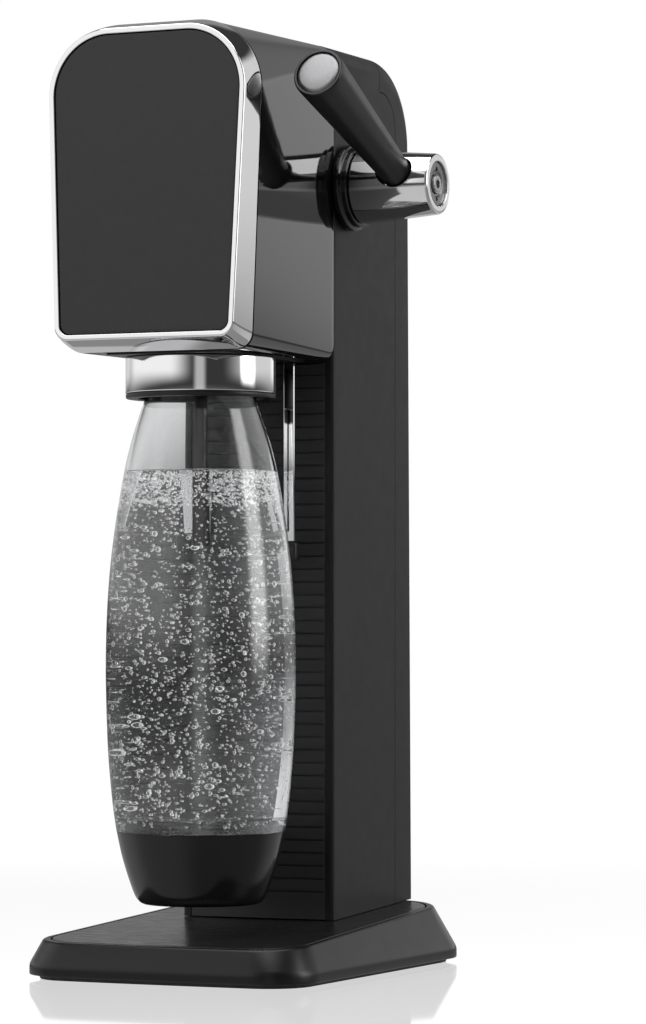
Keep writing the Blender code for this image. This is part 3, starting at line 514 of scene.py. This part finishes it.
def column_side(inset=0.0, bottom_drop=0.0, top_drop=0.0):
    """Side profile of the column as Y and Z, 'inset' inwards, with its top lowered by 'top_drop'."""
    front, rear, top = COL_FRONT + inset, COL_REAR - inset, MACHINE_TOP - inset - top_drop
    lift = SEAM - bottom_drop
    foot = rear + REAR_FLARE
    pts = [(front, plate_z(front) + lift), (foot, plate_z(foot) + lift)]
    pts += list(arc(ARC_Y, ARC_Z - top_drop, TOP_ARC - inset, 0, 90, 36))
    pts.append((front, top))
    return pts


def rounding(x, half_width, radius):
    """How far an edge rounded to 'radius' has fallen back at x."""
    beyond = max(abs(x) - (half_width - radius), 0.0)
    return radius - sqrt(max(radius ** 2 - beyond ** 2, 0.0))


def across(x, outline):
    return [(x, y, z) for y, z in outline]


def column_stations(half_width, radius):
    """X of the profiles, close together where the shoulder turns down."""
    turn = list(range(0, 60, 6)) + list(range(60, 91, 3))
    right = [half_width - radius + radius * sin(radians(d)) for d in turn]
    return [-x for x in reversed(right)] + right


def column_block():
    """Outer block of the column with its shoulders and upright edges rounded."""
    loops = []
    for x in column_stations(COL_HALF_W, SHOULDER):
        side = column_side(rounding(x, COL_HALF_W, SIDE_EDGE), 0.0, rounding(x, COL_HALF_W, SHOULDER))
        loops.append(across(x, side))
    return loft(loops)


def column_core():
    """The space inside the column's wall."""
    half_width, shoulder, below = COL_HALF_W - WALL, SHOULDER - WALL, 20.0
    loops = []
    for x in column_stations(half_width, shoulder):
        loops.append(across(x, column_side(WALL, below, rounding(x, half_width, shoulder))))
    return loft(loops)


def cover_region(clearance):
    """The strip behind and over the seam, where the rear cover sits."""
    r = TOP_ARC - COVER_DEPTH + clearance
    far, high = COL_REAR + 40.0, MACHINE_TOP + 30.0
    seam = ARC_Y - 1.5 + clearance
    outline = [(far, high), (far, 0.0), (ARC_Y + r, 0.0)]
    outline += list(arc(ARC_Y, ARC_Z, r, 0, 90, 32)) + [(seam, ARC_Z + r), (seam, high)]
    return loft([across(x, outline) for x in (-60.0, 60.0)])


def make_column(finishes):
    half = GRILLE_HIGH.x + SEAM
    ahead, behind = COL_FRONT - 9.5, COL_FRONT + 10.5
    grille_window = block((-half, ahead, 0), (half, behind, HOUSING_LOW.z - 0.6))
    head_window = block((-32, ahead, 300), (32, behind, 422))    # the head's inside opens into the column
    shaft_hole = lathe([(0, 30), (SHAFT_HOLE_R, 30), (SHAFT_HOLE_R, 50), (0, 50)], 64, axis="X",
                       at=(0, LEVER_AXIS.y, LEVER_AXIS.z))
    piece("column_body", column_block(), finishes["column_paint"], "machine", ["column_shell"],
          [column_core(), cover_region(0.0), grille_window, head_window, shaft_hole])
    piece("column_rear_cover", column_block(), finishes["column_paint"], "cover", ["rear_cover"],
          [column_core()], cover_region(0.4))
    make_grille(finishes)


def make_grille(finishes):
    """Front panel with level grooves that end just inside its edges, slightly bowed."""
    first, pitch, count, height, depth = 36.5, 6.04, 41, 0.9, 1.1
    bow, back = 0.9, COL_FRONT + 2.4
    low, high = GRILLE_LOW.z, GRILLE_HIGH.z
    chamfer = 0.2
    profile = [(0.0, low)]
    for k in range(count):
        z = first + k * pitch
        if z + height > high - 1.0:
            break
        profile += [(0.0, z - height / 2), (1.0, z - height / 2 + chamfer),
                    (1.0, z + height / 2), (0.0, z + height / 2)]
    profile.append((0.0, high))
    ends = [-1.0, -0.975, -0.965]
    stations = ends + [-0.93 + 1.86 * k / 24 for k in range(25)] + [-t for t in reversed(ends)]
    loops = []
    for t in stations:
        open_groove = 0.0 if abs(t) > 0.97 else depth
        face = COL_FRONT + SEAM + bow * t * t - bow
        loop = [(GRILLE_HIGH.x * t, face + share * open_groove, z) for share, z in profile]
        loop += [(GRILLE_HIGH.x * t, back, high), (GRILLE_HIGH.x * t, back, low)]
        loops.append(loop)
    piece("column_louvres", loft(loops), finishes["grille_plastic"], "machine", ["column_grille"],
          sharp=25.0)


# ---------------------------------------------------------------- head

BEZEL_LOW, BEZEL_HIGH = span("front_bezel")
HEAD_BOTTOM = BEZEL_LOW.z
FRONT_INSET_LOW, FRONT_INSET_TOP = 4.8, 3.4
FRONT_LEAN = 0.027             # the front face leans back by this much per height
BEZEL_FRONT = BEZEL_LOW.y - FRONT_LEAN * (FRONT_INSET_LOW + 0.5)    # at the bottom of the head
BEZEL_REAR = BEZEL_HIGH.y
BEZEL_RIM = 2.4
BEZEL_FLARE = 1.8              # the bezel widens this much towards its rear
HEAD_W_SLOPE = 0.031           # half width gained per height
HEAD_W_LOW = BEZEL_HIGH.x - BEZEL_FLARE * 0.97 - HEAD_W_SLOPE * (MACHINE_TOP - HEAD_BOTTOM)
HEAD_TOP_CORNER, HEAD_LOW_CORNER = 29.5, 6.5
CORNER_GROWTH = 2.5            # the bezel's top corners are rounder at its rear edge
HEEL = 4.0                     # rounding where the head's underside meets the column
HOUSING_STEP = 1.4             # the housing starts this much wider than the bezel's front


def head_outline(inset_x, inset_low, inset_top, top_r, low_r, w_low, slope=HEAD_W_SLOPE):
    """Rounded trapezoid, wider at the top, as X and Z points."""
    z0, z1 = HEAD_BOTTOM + inset_low, MACHINE_TOP - inset_top
    low = w_low - inset_x + slope * inset_low
    high = w_low - inset_x + slope * (MACHINE_TOP - HEAD_BOTTOM - inset_top)
    pts = list(arc(high - top_r, z1 - top_r, top_r, 0, 90, 26))
    pts += list(arc(-high + top_r, z1 - top_r, top_r, 90, 180, 26))
    pts += list(arc(-low + low_r, z0 + low_r, low_r, 180, 270, 14))
    pts += list(arc(low - low_r, z0 + low_r, low_r, 270, 360, 14))
    return pts


def upright(y, outline):
    return [(x, y, z) for x, z in outline]


def on_face(depth, outline):
    """Outline set 'depth' behind the leaning front face."""
    return [(x, BEZEL_FRONT + FRONT_LEAN * (z - HEAD_BOTTOM) + depth, z) for x, z in outline]


def bezel_section(step):
    """Bezel outline between its front rim (step 0) and its rear edge (step 1)."""
    keep = 1.0 - step
    return head_outline(-BEZEL_FLARE * step, FRONT_INSET_LOW * keep, FRONT_INSET_TOP * keep,
                        HEAD_TOP_CORNER + CORNER_GROWTH * step, HEAD_LOW_CORNER + step, HEAD_W_LOW)


def bezel_loop(along, bulge=0.0):
    """The bezel's outline in space, from the leaning rim back to its upright rear edge."""
    face = on_face(0.0, bezel_section(along + bulge))
    return [(x, y + (BEZEL_REAR - y) * along, z) for x, y, z in face]


def front_opening(extra):
    rim = BEZEL_RIM + extra
    return head_outline(rim, FRONT_INSET_LOW + rim, FRONT_INSET_TOP + rim, HEAD_TOP_CORNER - rim,
                        HEAD_LOW_CORNER - 1.8, HEAD_W_LOW)


def make_bezel(finishes):
    crown = 0.10               # the band bulges a little between its edges
    stages = 8
    loops = [bezel_loop(0.985)]
    radii = [0.5]
    for k in range(stages - 1, 0, -1):
        along = k / stages
        loops.append(bezel_loop(along, crown * sin(pi * along)))
        radii.append(0)
    loops += [bezel_loop(0.0), on_face(0.0, front_opening(0.0)), upright(BEZEL_REAR, front_opening(0.0))]
    radii += [0.55, 0.35, 0]
    piece("head_bezel", soft_loft(loops, radii, closed=True, steps=5), finishes["chrome"], "machine",
          ["front_bezel"], sharp=50.0)
    sunk, thickness = 0.6, 2.8
    loops = [on_face(sunk + thickness, front_opening(0.4)), on_face(sunk, front_opening(0.4)),
             on_face(sunk, front_opening(2.5))]
    piece("head_panel", soft_loft(loops, [0, 0.6, 0]), finishes["panel_plastic"], "machine",
          ["front_panel"])


def housing_loop(y, shrink):
    """Section of the housing: the head's trapezoid in front, the column's width behind."""
    front, rear = BEZEL_REAR, HOUSING_HIGH.y
    t = max(0.0, min(1.0, (y - front) / (rear - front)))
    w_low = (HEAD_W_LOW + HOUSING_STEP) * (1 - t) + COL_HALF_W * t
    corner = (HEAD_TOP_CORNER + CORNER_GROWTH) * (1 - t) + SHOULDER * t
    lift = rounding(max(y, 0.0), rear, HEEL)
    low_r = (HEAD_LOW_CORNER + 0.5) * (1 - t) + HEEL * t
    return upright(y, head_outline(shrink, shrink + lift + 0.1, shrink + 0.1, corner - shrink,
                                   low_r - shrink * 0.5, w_low, HEAD_W_SLOPE * (1 - t)))


def make_housing(finishes):
    front, rear = HOUSING_LOW.y, HOUSING_HIGH.y
    rebate = 1.3
    outer = [(front, rebate), (front + 1.3, rebate), (front + 1.31, 0.0)]
    outer += [(front + 2.0 + (rear - 2.0 - HEEL - front) * k / 8, 0.0) for k in range(9)]
    outer += [(rear - HEEL + HEEL * sin(radians(a)), 0.0) for a in range(12, 91, 13)]
    loops = [housing_loop(y, s) for y, s in outer]
    for y in (rear, rear - 1.6, rear - HEEL, 12.0, BEZEL_REAR + 2.0, front):
        inside = WALL if y > 0 else 2.6
        loops.append(upright(y, [(x, z) for x, _, z in housing_loop(min(y, rear - 1.6), inside)]))
    holder_window = block((-29.6, -60, 280), (29.6, 51.5, 292))    # the holder hangs through it
    piece("head_shell", loft(loops, closed=True), finishes["gloss"], "machine", ["head_housing"],
          [holder_window], sharp=40.0)


# ---------------------------------------------------------------- bottle holder

COLLAR_LOW, COLLAR_HIGH = span("holder_collar")
SKIN_LOW, SKIN_HIGH = span("collar_skin")
COLLAR_R, COLLAR_BORE = COLLAR_HIGH.x, 28.5
SKIN_HALF_ANGLE = 100.0


def round_ring(section_at, angles, closed):
    """Loft a section round the upright axis; angles in degrees from -Y, positive towards +X."""
    loops = []
    for degrees in angles:
        a = radians(degrees)
        loops.append([(r * sin(a), -r * cos(a), z) for r, z in section_at(degrees)])
    return loft(loops, closed)


def collar_section(degrees):
    """A lower lip, and a body that is slimmer where the skin lies."""
    radius = COLLAR_R - (1.6 if abs(degrees) <= SKIN_HALF_ANGLE + 1 else 0.01)
    lip = SKIN_LOW.z - SEAM
    corners = [(COLLAR_BORE, COLLAR_LOW.z, 1.0), (COLLAR_R, COLLAR_LOW.z, 0.9), (COLLAR_R, lip, 0.3),
               (radius, lip, 0), (radius, COLLAR_HIGH.z, 0.3), (COLLAR_BORE, COLLAR_HIGH.z, 0.6)]
    return soft_section(corners, closed=True)


def skin_section(_degrees):
    inner, outer = COLLAR_R - 1.2, SKIN_HIGH.x
    corners = [(inner, SKIN_LOW.z, 0.1), (outer, SKIN_LOW.z, 0.55), (outer, SKIN_HIGH.z, 0.45),
               (inner, SKIN_HIGH.z, 0.1)]
    return soft_section(corners, closed=True)


def make_holder(finishes):
    edge = SKIN_HALF_ANGLE + 1
    angles = [-edge + 2 * edge * k / 100 for k in range(101)]
    angles += [edge + 0.3 + (359.4 - 2 * edge) * k / 76 for k in range(77)]
    wrapped = [a if a <= 180 else a - 360 for a in angles]
    piece("collar_body", round_ring(collar_section, wrapped, True), finishes["plastic"], "holder",
          ["holder_collar"])
    angles = [-SKIN_HALF_ANGLE + 2 * SKIN_HALF_ANGLE * k / 120 for k in range(121)]
    piece("collar_band", round_ring(skin_section, angles, False), finishes["chrome"], "holder",
          ["collar_skin"], sharp=60.0)
    for side in ("left", "right"):
        low, high = span(f"holder_arm_{side}")
        piece(f"arm_{side}", block(low, high, 0.55), finishes["chrome"], "holder",
              [f"holder_arm_{side}"], sharp=60.0)
    low, high = span("holder_arm_bridge")
    piece("arm_bridge", block(low, high, 1.2, 4), finishes["plastic"], "holder",
          ["holder_arm_bridge"], sharp=60.0)


# ---------------------------------------------------------------- bottle

BOTTLE_WALL = 1.3
# outer radius at height, from the cup's rim to the neck
BOTTLE_SIDE = ((38.6, 67.2), (40.4, 80.0), (42.2, 100.0), (43.1, 120.0), (43.5, 142.0), (43.0, 165.0),
               (41.6, 186.0), (39.4, 205.0), (36.7, 222.0), (34.1, 236.0), (30.4, 250.0),
               (25.1, 266.0), (19.6, 282.0), (14.6, 297.0))
BOTTLE_FOOT = ((0.0, 39.4), (16.0, 37.4), (25.4, 37.4), (28.2, 39.2), (31.0, 47.0), (33.7, 56.0),
               (35.6, 63.5), (36.3, 67.0))
NECK_R, NECK_BORE = 13.4, 11.2
MOUTH_TOP = span("bottle_body")[1].z
WATER_LEVEL = 231.5


def bottle_outside():
    """Outer line of the bottle from the cup's rim to the neck, as a smooth curve."""
    return smooth_line(BOTTLE_SIDE, 6)


def make_bottle(finishes):
    outside = bottle_outside()
    foot = smooth_line(BOTTLE_FOOT[2:-1], 4)
    neck = [(NECK_R, 300, 0), (NECK_R, 303.2, 0.2), (16.4, 303.2, 0.5), (16.4, 305.0, 0.5),
            (NECK_R, 305.0, 0.2), (NECK_R, 309.0, 0.3), (14.4, 309.8, 0.4), (14.4, 310.6, 0.4),
            (NECK_R, 311.4, 0.3), (NECK_R, MOUTH_TOP, 0.5), (NECK_BORE, MOUTH_TOP, 0.5), (NECK_BORE, 300, 0)]
    inside = [(r - BOTTLE_WALL, z) for r, z in reversed(outside[3:])]
    inside += [(35.2, 69.5)] + [(r - BOTTLE_WALL, z + 0.6) for r, z in reversed(foot[3:])]
    inside += [(23.5, 39.6), (15.0, 39.6), (0.0, 41.4)]
    profile = list(BOTTLE_FOOT[:2]) + foot + [BOTTLE_FOOT[-1]] + outside + soft_section(neck, steps=3)
    profile += inside
    piece("bottle_wall", lathe(profile, 128), finishes["clear"], "bottle", ["bottle_body"],
          sharp=50.0)
    make_cup(finishes)
    make_water(finishes)


def make_cup(finishes):
    rim = span("bottle_cup")[1].z
    side = [(24.0, 33.6), (26.4, 33.9), (28.4, 35.2), (30.4, 38.2), (33.2, 46.0), (35.9, 55.0),
            (37.7, 63.0), (38.5, rim)]
    shell = smooth_line(side, 5)
    inner = [(35.9, 63.6), (34.1, 56.0), (31.4, 47.0), (28.7, 39.2), (26.0, 36.6), (0.0, 36.6)]
    profile = [(0.0, 34.8), (20.0, 34.8)] + shell + [(36.7, rim)] + inner
    piece("bottle_foot_cup", lathe(profile, 128), finishes["cup_plastic"], "bottle", ["bottle_cup"],
          sharp=45.0)


def water_radius(z):
    """Radius of the water at a height: it wets the wall, so it reaches a little into it."""
    line = bottle_outside()
    for (r0, z0), (r1, z1) in zip(line, line[1:]):
        if z0 <= z <= z1:
            return r0 + (r1 - r0) * (z - z0) / (z1 - z0) - BOTTLE_WALL + 0.4
    return 36.3 - BOTTLE_WALL


def make_water(finishes):
    bore, top = 3.0, WATER_LEVEL
    heights = [72.0 + (top - 72.0) * k / 40 for k in range(41)]
    side = [(water_radius(z), z) for z in heights]
    floor = [(0.0, 41.2), (15.0, 39.4), (23.5, 39.4), (27.6, 41.5), (30.2, 48.5), (32.8, 57.0),
             (34.6, 65.0)]
    meniscus = [(water_radius(top) - 1.0, top - 0.5), (water_radius(top) - 2.6, top - 0.8)]
    wick = [(bore + 2.4, top - 0.8), (bore + 0.8, top - 0.4), (bore - 0.2, top)]
    tube_low = span("carbonation_tube")[0].z + 0.9
    hole = [(bore - 0.2, tube_low), (0.0, tube_low)]
    profile = floor + side + meniscus + wick + hole
    piece("water", lathe(profile, 128), finishes["water"], "bottle", sharp=60.0)
    make_bubbles(finishes)


BUBBLE_SEED = 7
ROUND_ABOVE = 0.55             # bubbles over this radius are made with more faces
BUBBLE_KINDS = (
    # how many, smallest and largest radius, lowest and highest place, share of them by the wall
    (3100, 0.26, 0.42, 70.0, WATER_LEVEL - 1.5, 0.9),
    (1700, 0.42, 0.80, 70.0, WATER_LEVEL - 2.0, 0.9),
    (130, 0.80, 1.35, 74.0, WATER_LEVEL - 25.0, 0.95),
    (2200, 0.28, 0.56, WATER_LEVEL - 17.0, WATER_LEVEL - 0.8, 0.7),    # the foam
)


def unit_ball(fineness):
    """Corners and faces of a ball of radius 1."""
    ball = bmesh.new()
    bmesh.ops.create_icosphere(ball, subdivisions=fineness, radius=1.0)
    ball.verts.index_update()
    made = [v.co.copy() for v in ball.verts], [[v.index for v in f.verts] for f in ball.faces]
    ball.free()
    return made


def make_bubbles(finishes):
    """Gas bubbles in the water, many of them near the wall, as one piece."""
    chance = random.Random(BUBBLE_SEED)
    plain, round_one = unit_ball(1), unit_ball(2)
    bm = bmesh.new()
    tube_clear, wall_zone = 4.5, 0.12
    for count, small, large, low, high, wall_share in BUBBLE_KINDS:
        for _ in range(count):
            size = small + (large - small) * chance.random() ** 1.8
            z = low + (high - low) * chance.random()
            limit = water_radius(z) - 1.0 - size
            if chance.random() > wall_share:
                reach = chance.random() ** 0.5
            else:
                reach = 1.0 - wall_zone * chance.random()
            r = max(limit * reach, tube_clear + size)
            a = chance.random() * tau
            centre = Vector((r * cos(a), r * sin(a), z))
            corners, faces = round_one if size > ROUND_ABOVE else plain
            made = [bm.verts.new(centre + co * size) for co in corners]
            for face in faces:
                bm.faces.new([made[i] for i in face])
    obj = bubble_object(bm)
    obj.data.materials.append(finishes["bubbles"])
    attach(obj, "bottle")


def bubble_object(bm):
    bm.transform(Matrix.Scale(MM, 4))
    mesh = bpy.data.meshes.new("bubbles")
    bm.to_mesh(mesh)
    bm.free()
    mesh.shade_smooth()
    obj = bpy.data.objects.new("bubbles", mesh)
    bpy.context.scene.collection.objects.link(obj)
    return obj


# ---------------------------------------------------------------- lever

HUB_LOW, HUB_HIGH = span("lever_hub")
LEVER_REST = radians(23.0)     # the grip rises this much towards the front
GRIP_X, GRIP_REACH = 69.5, 106.0
HUB_ROOT_R, HUB_END_R = 17.2, 14.1
GRIP_ROOT_R, GRIP_TIP_R = 7.2, 11.8


def along_grip(bm):
    """Turn a shape made along +Y from the lever's axis to where the grip points."""
    place = Matrix.Translation((GRIP_X, LEVER_AXIS.y, LEVER_AXIS.z))
    bm.transform(place @ Matrix.Rotation(pi - LEVER_REST, 4, "X"))
    return bm


def make_lever(finishes):
    at = (0.0, LEVER_AXIS.y, LEVER_AXIS.z)
    collar_low, collar_high = span("lever_collar")
    x0, x1 = collar_low.x, collar_high.x
    collar = [(9.6, x0, 0), (19.0, x0, 0.6), (20.2, x0 + 1.1, 0.5), (20.2, x0 + 3.5, 0.5),
              (18.6, x0 + 4.1, 0.4), (18.6, x1, 0.7), (9.6, x1, 0)]
    piece("lever_boss", turned(collar, 96, True, "X", at), finishes["gloss"], "machine",
          ["lever_collar"], sharp=50.0)

    x0, x1 = HUB_LOW.x, HUB_HIGH.x
    recess = 2.8
    hub = [(5.3, x0, 0), (HUB_ROOT_R, x0, 0.7), (HUB_END_R, x1, 1.3), (10.6, x1, 0.35),
           (10.6, x1 - recess, 0), (5.3, x1 - recess, 0)]
    saddle = along_grip(lathe([(0, 8.0), (GRIP_ROOT_R + 0.3, 8.0), (GRIP_ROOT_R + 0.3, 12.2),
                               (10.6, 19.0), (10.6, 30.0), (0, 30.0)], 72, axis="Y"))
    piece("hub", turned(hub, 128, True, "X", at), finishes["chrome"], "lever", ["lever_hub"],
          [saddle], sharp=30.0)

    make_hub_end(finishes, at)
    reach = GRIP_REACH
    grip = [(0, 8.4, 0), (GRIP_ROOT_R, 8.4, 0.4), (GRIP_ROOT_R, 16.0, 6.0), (GRIP_TIP_R, reach - 4.0, 20.0),
            (GRIP_TIP_R, reach, 1.3), (10.3, reach, 0.3), (10.3, reach - 1.8, 0), (0, reach - 1.8, 0)]
    piece("grip", along_grip(turned(grip, 96, axis="Y", steps=6)), finishes["grip_plastic"], "lever",
          ["lever_grip"], sharp=40.0)
    cap = [(0, reach - 1.5, 0), (10.0, reach - 1.5, 0), (10.0, reach - 0.6, 0.4), (8.8, reach + 0.1, 0.6),
           (5.0, reach + 0.5, 2.0), (0, reach + 0.6, 0)]
    piece("grip_disc", along_grip(turned(cap, 96, axis="Y")), finishes["aluminium"], "lever",
          ["grip_end_cap"], sharp=50.0)


def make_hub_end(finishes, at):
    """Dished ring and socket screw in the end of the hub."""
    low, high = span("hub_cap_ring")
    x0, x1 = low.x, high.x
    ring = [(4.6, x0, 0), (10.3, x0, 0), (10.3, x1, 0.3), (6.6, x1, 0.4), (5.6, x1 - 0.9, 0.3),
            (4.6, x1 - 0.9, 0.2)]
    notches = [lathe([(0, x1 - 0.8), (1.1, x1 - 0.8), (1.1, x1 + 1), (0, x1 + 1)], 32, axis="X",
                     at=(0, LEVER_AXIS.y, LEVER_AXIS.z + side * 7.0)) for side in (-1, 1)]
    piece("hub_ring", turned(ring, 96, True, "X", at), finishes["aluminium"], "lever",
          ["hub_cap_ring"], notches, sharp=40.0)
    low, high = span("hub_screw")
    head = [(0, low.x, 0), (4.2, low.x, 0.3), (4.2, high.x, 0.5), (0, high.x, 0)]
    socket = lathe([(0, high.x - 1.6), (2.3, high.x - 1.6), (2.3, high.x + 2), (0, high.x + 2)], 6,
                   axis="X", at=at)
    piece("hub_bolt", turned(head, 64, False, "X", at), finishes["steel"], "lever", ["hub_screw"],
          [socket], sharp=40.0)


# ---------------------------------------------------------------- gas side

CAD_FINISHES = {
    "rubber": ["base_foot_pad", "bottle_seal", "cylinder_seal", "gas_hose"],
    "steel": ["base_ballast", "chassis_spine", "head_frame", "holder_pivot_pin", "frame_screw_1",
              "frame_screw_2", "lever_shaft", "lever_crank", "return_spring", "rocker_pin",
              "valve_rocker", "push_rod", "valve_plunger", "handle_pin_left", "handle_pin_right"],
    "plastic": ["cylinder_rest", "cylinder_guide", "holder_deck", "nozzle_head", "carbonation_tube"],
    "brass": ["shaft_bush_left", "shaft_bush_right", "relief_valve", "valve_block", "cylinder_valve"],
    "grip_plastic": ["cylinder_handle"],
    "cylinder": ["gas_cylinder"],
}


def dress_cad(finishes):
    """Give every CAD node that stays in view its material."""
    for finish, nodes in CAD_FINISHES.items():
        for node in nodes:
            mesh = frame["nodes"][node].data
            mesh.materials.clear()
            mesh.materials.append(finishes[finish])


# ---------------------------------------------------------------- studio

class Studio:
    """Surroundings as soft panels by azimuth and elevation; the camera itself sees plain white."""

    def __init__(self, dim):
        world = bpy.data.worlds.new("studio")
        bpy.context.scene.world = world
        world.use_nodes = True
        tree = world.node_tree
        self.nodes, self.link = tree.nodes, tree.links.new
        self.nodes.clear()
        self.where = self.nodes.new("ShaderNodeTexCoord").outputs["Generated"]
        self.level = self.value(dim)

    def value(self, number):
        made = self.nodes.new("ShaderNodeValue")
        made.outputs[0].default_value = number
        return made.outputs[0]

    def math(self, operation, a, b=None):
        made = self.nodes.new("ShaderNodeMath")
        made.operation = operation
        for socket, given in zip(made.inputs, (a, b)):
            if given is None:
                continue
            if isinstance(given, (int, float)):
                socket.default_value = given
            else:
                self.link(given, socket)
        return made.outputs[0]

    def fade(self, value, inside, outside):
        """1 up to 'inside', falling smoothly to 0 at 'outside'."""
        ramp = self.nodes.new("ShaderNodeMapRange")
        ramp.interpolation_type = "SMOOTHSTEP"
        ramp.inputs["From Min"].default_value = inside
        ramp.inputs["From Max"].default_value = outside
        ramp.inputs["To Min"].default_value = 1.0
        ramp.inputs["To Max"].default_value = 0.0
        self.link(value, ramp.inputs["Value"])
        return ramp.outputs["Result"]

    def panel(self, azimuth, half, low, high, strength, soft=12.0, soft_up=8.0):
        """Light panel; azimuth in degrees from the camera, positive to its right."""
        turn = self.nodes.new("ShaderNodeVectorRotate")
        turn.rotation_type = "Z_AXIS"
        turn.inputs["Angle"].default_value = radians(-azimuth) - CAMERA_AZIMUTH
        self.link(self.where, turn.inputs["Vector"])
        split = self.nodes.new("ShaderNodeSeparateXYZ")
        self.link(turn.outputs["Vector"], split.inputs["Vector"])
        toward = self.math("MULTIPLY", split.outputs["Y"], -1.0)
        aside = self.math("ABSOLUTE", self.math("ARCTAN2", split.outputs["X"], toward))
        up = self.math("ARCSINE", split.outputs["Z"])
        middle, reach = radians((low + high) / 2), radians((high - low) / 2)
        off = self.math("ABSOLUTE", self.math("SUBTRACT", up, middle))
        across_fade = self.fade(aside, radians(half), radians(half + soft))
        up_fade = self.fade(off, reach, reach + radians(soft_up))
        lit = self.math("MULTIPLY", self.math("MULTIPLY", across_fade, up_fade), strength)
        self.level = self.math("ADD", self.level, lit)

    def finish(self):
        seen = self.nodes.new("ShaderNodeLightPath").outputs["Is Camera Ray"]
        strength = self.math("MAXIMUM", self.level, self.math("MULTIPLY", seen, 1.0))
        light = self.nodes.new("ShaderNodeBackground")
        light.inputs["Color"].default_value = (1.0, 1.0, 1.0, 1.0)
        out = self.nodes.new("ShaderNodeOutputWorld")
        self.link(strength, light.inputs["Strength"])
        self.link(light.outputs["Background"], out.inputs["Surface"])


def make_studio():
    studio = Studio(0.04)
    studio.panel(-82, 33, 5, 40, 0.95, soft=42, soft_up=8)       # large soft light on the left
    studio.panel(108, 20, 5, 28, 0.66, soft=55, soft_up=8)       # and on the right, a little behind
    studio.panel(79, 6, 4, 40, 3.6, soft=11, soft_up=7)          # bright strip on the right
    studio.panel(0, 3, -10, 40, 0.45, soft=9)          # narrow strip by the camera
    studio.panel(180, 30, 3.5, 9, 0.62, soft=20, soft_up=3)      # low wall behind
    studio.panel(180, 12, 12, 35, 0.22, soft=10)       # and a card over it
    studio.panel(0, 180, -90, -10, 0.22, soft=1)       # pale floor all round
    studio.panel(-70, 30, -90, -12, 0.32, soft=45, soft_up=4)    # lit most on the left
    studio.panel(180, 60, -30, -4, 0.24, soft=30, soft_up=3)     # and far behind
    studio.finish()


def area_light(name, place, aim, size, power):
    data = bpy.data.lights.new(name, "AREA")
    data.shape = "RECTANGLE"
    data.size, data.size_y = size
    data.energy = power
    lamp = bpy.data.objects.new(name, data)
    lamp.location = place
    lamp.rotation_euler = (Vector(aim) - Vector(place)).to_track_quat("-Z", "Y").to_euler()
    lamp.visible_camera = False
    bpy.context.scene.collection.objects.link(lamp)


FLOOR_SOLID, FLOOR_EDGE = 0.42, 1.1      # metres: the floor fades out into the white between them


def make_floor():
    """Round white floor under a clear coat that mirrors the machine, thinning out at its edge."""
    bm = bmesh.new()
    bmesh.ops.create_circle(bm, cap_ends=True, segments=128, radius=FLOOR_EDGE / MM)
    floor = object_from("floor", bm)
    finish = Finish("white_floor", (0.0, 0.0, 0.0), 1.0, Specular_IOR_Level=0.0, Coat_Weight=1.0,
                    Coat_Roughness=0.05, Coat_IOR=1.3, Emission_Strength=1.5)
    finish.shader.inputs["Emission Color"].default_value = (1.0, 1.0, 1.0, 1.0)
    where = finish.node("ShaderNodeTexCoord")
    length = finish.node("ShaderNodeVectorMath", operation="LENGTH")
    finish.link(where.outputs["Object"], length.inputs[0])
    fade = finish.node("ShaderNodeMapRange", interpolation_type="SMOOTHSTEP")
    fade.inputs["From Min"].default_value = FLOOR_SOLID
    fade.inputs["From Max"].default_value = FLOOR_EDGE * 0.95
    fade.inputs["To Min"].default_value = 1.0
    fade.inputs["To Max"].default_value = 0.0
    finish.link(length.outputs["Value"], fade.inputs["Value"])
    finish.link(fade.outputs["Result"], finish.shader.inputs["Alpha"])
    floor.data.materials.append(finish.material)
    floor.location.z = -0.0002
    floor.visible_diffuse = False
    floor.visible_glossy = False
    floor.visible_transmission = False


def make_lights():
    area_light("overhead", (0.0, -0.2, 1.5), (0.0, 0.05, 0.0), (1.5, 1.5), 20.0)


# ---------------------------------------------------------------- assembly

make_camera()
finishes = make_finishes()
make_base(finishes)
make_column(finishes)
make_bezel(finishes)
make_housing(finishes)
make_holder(finishes)
make_bottle(finishes)
make_lever(finishes)
dress_cad(finishes)
make_studio()
make_lights()
make_floor()
bpy.context.scene.view_settings.view_transform = "Standard"
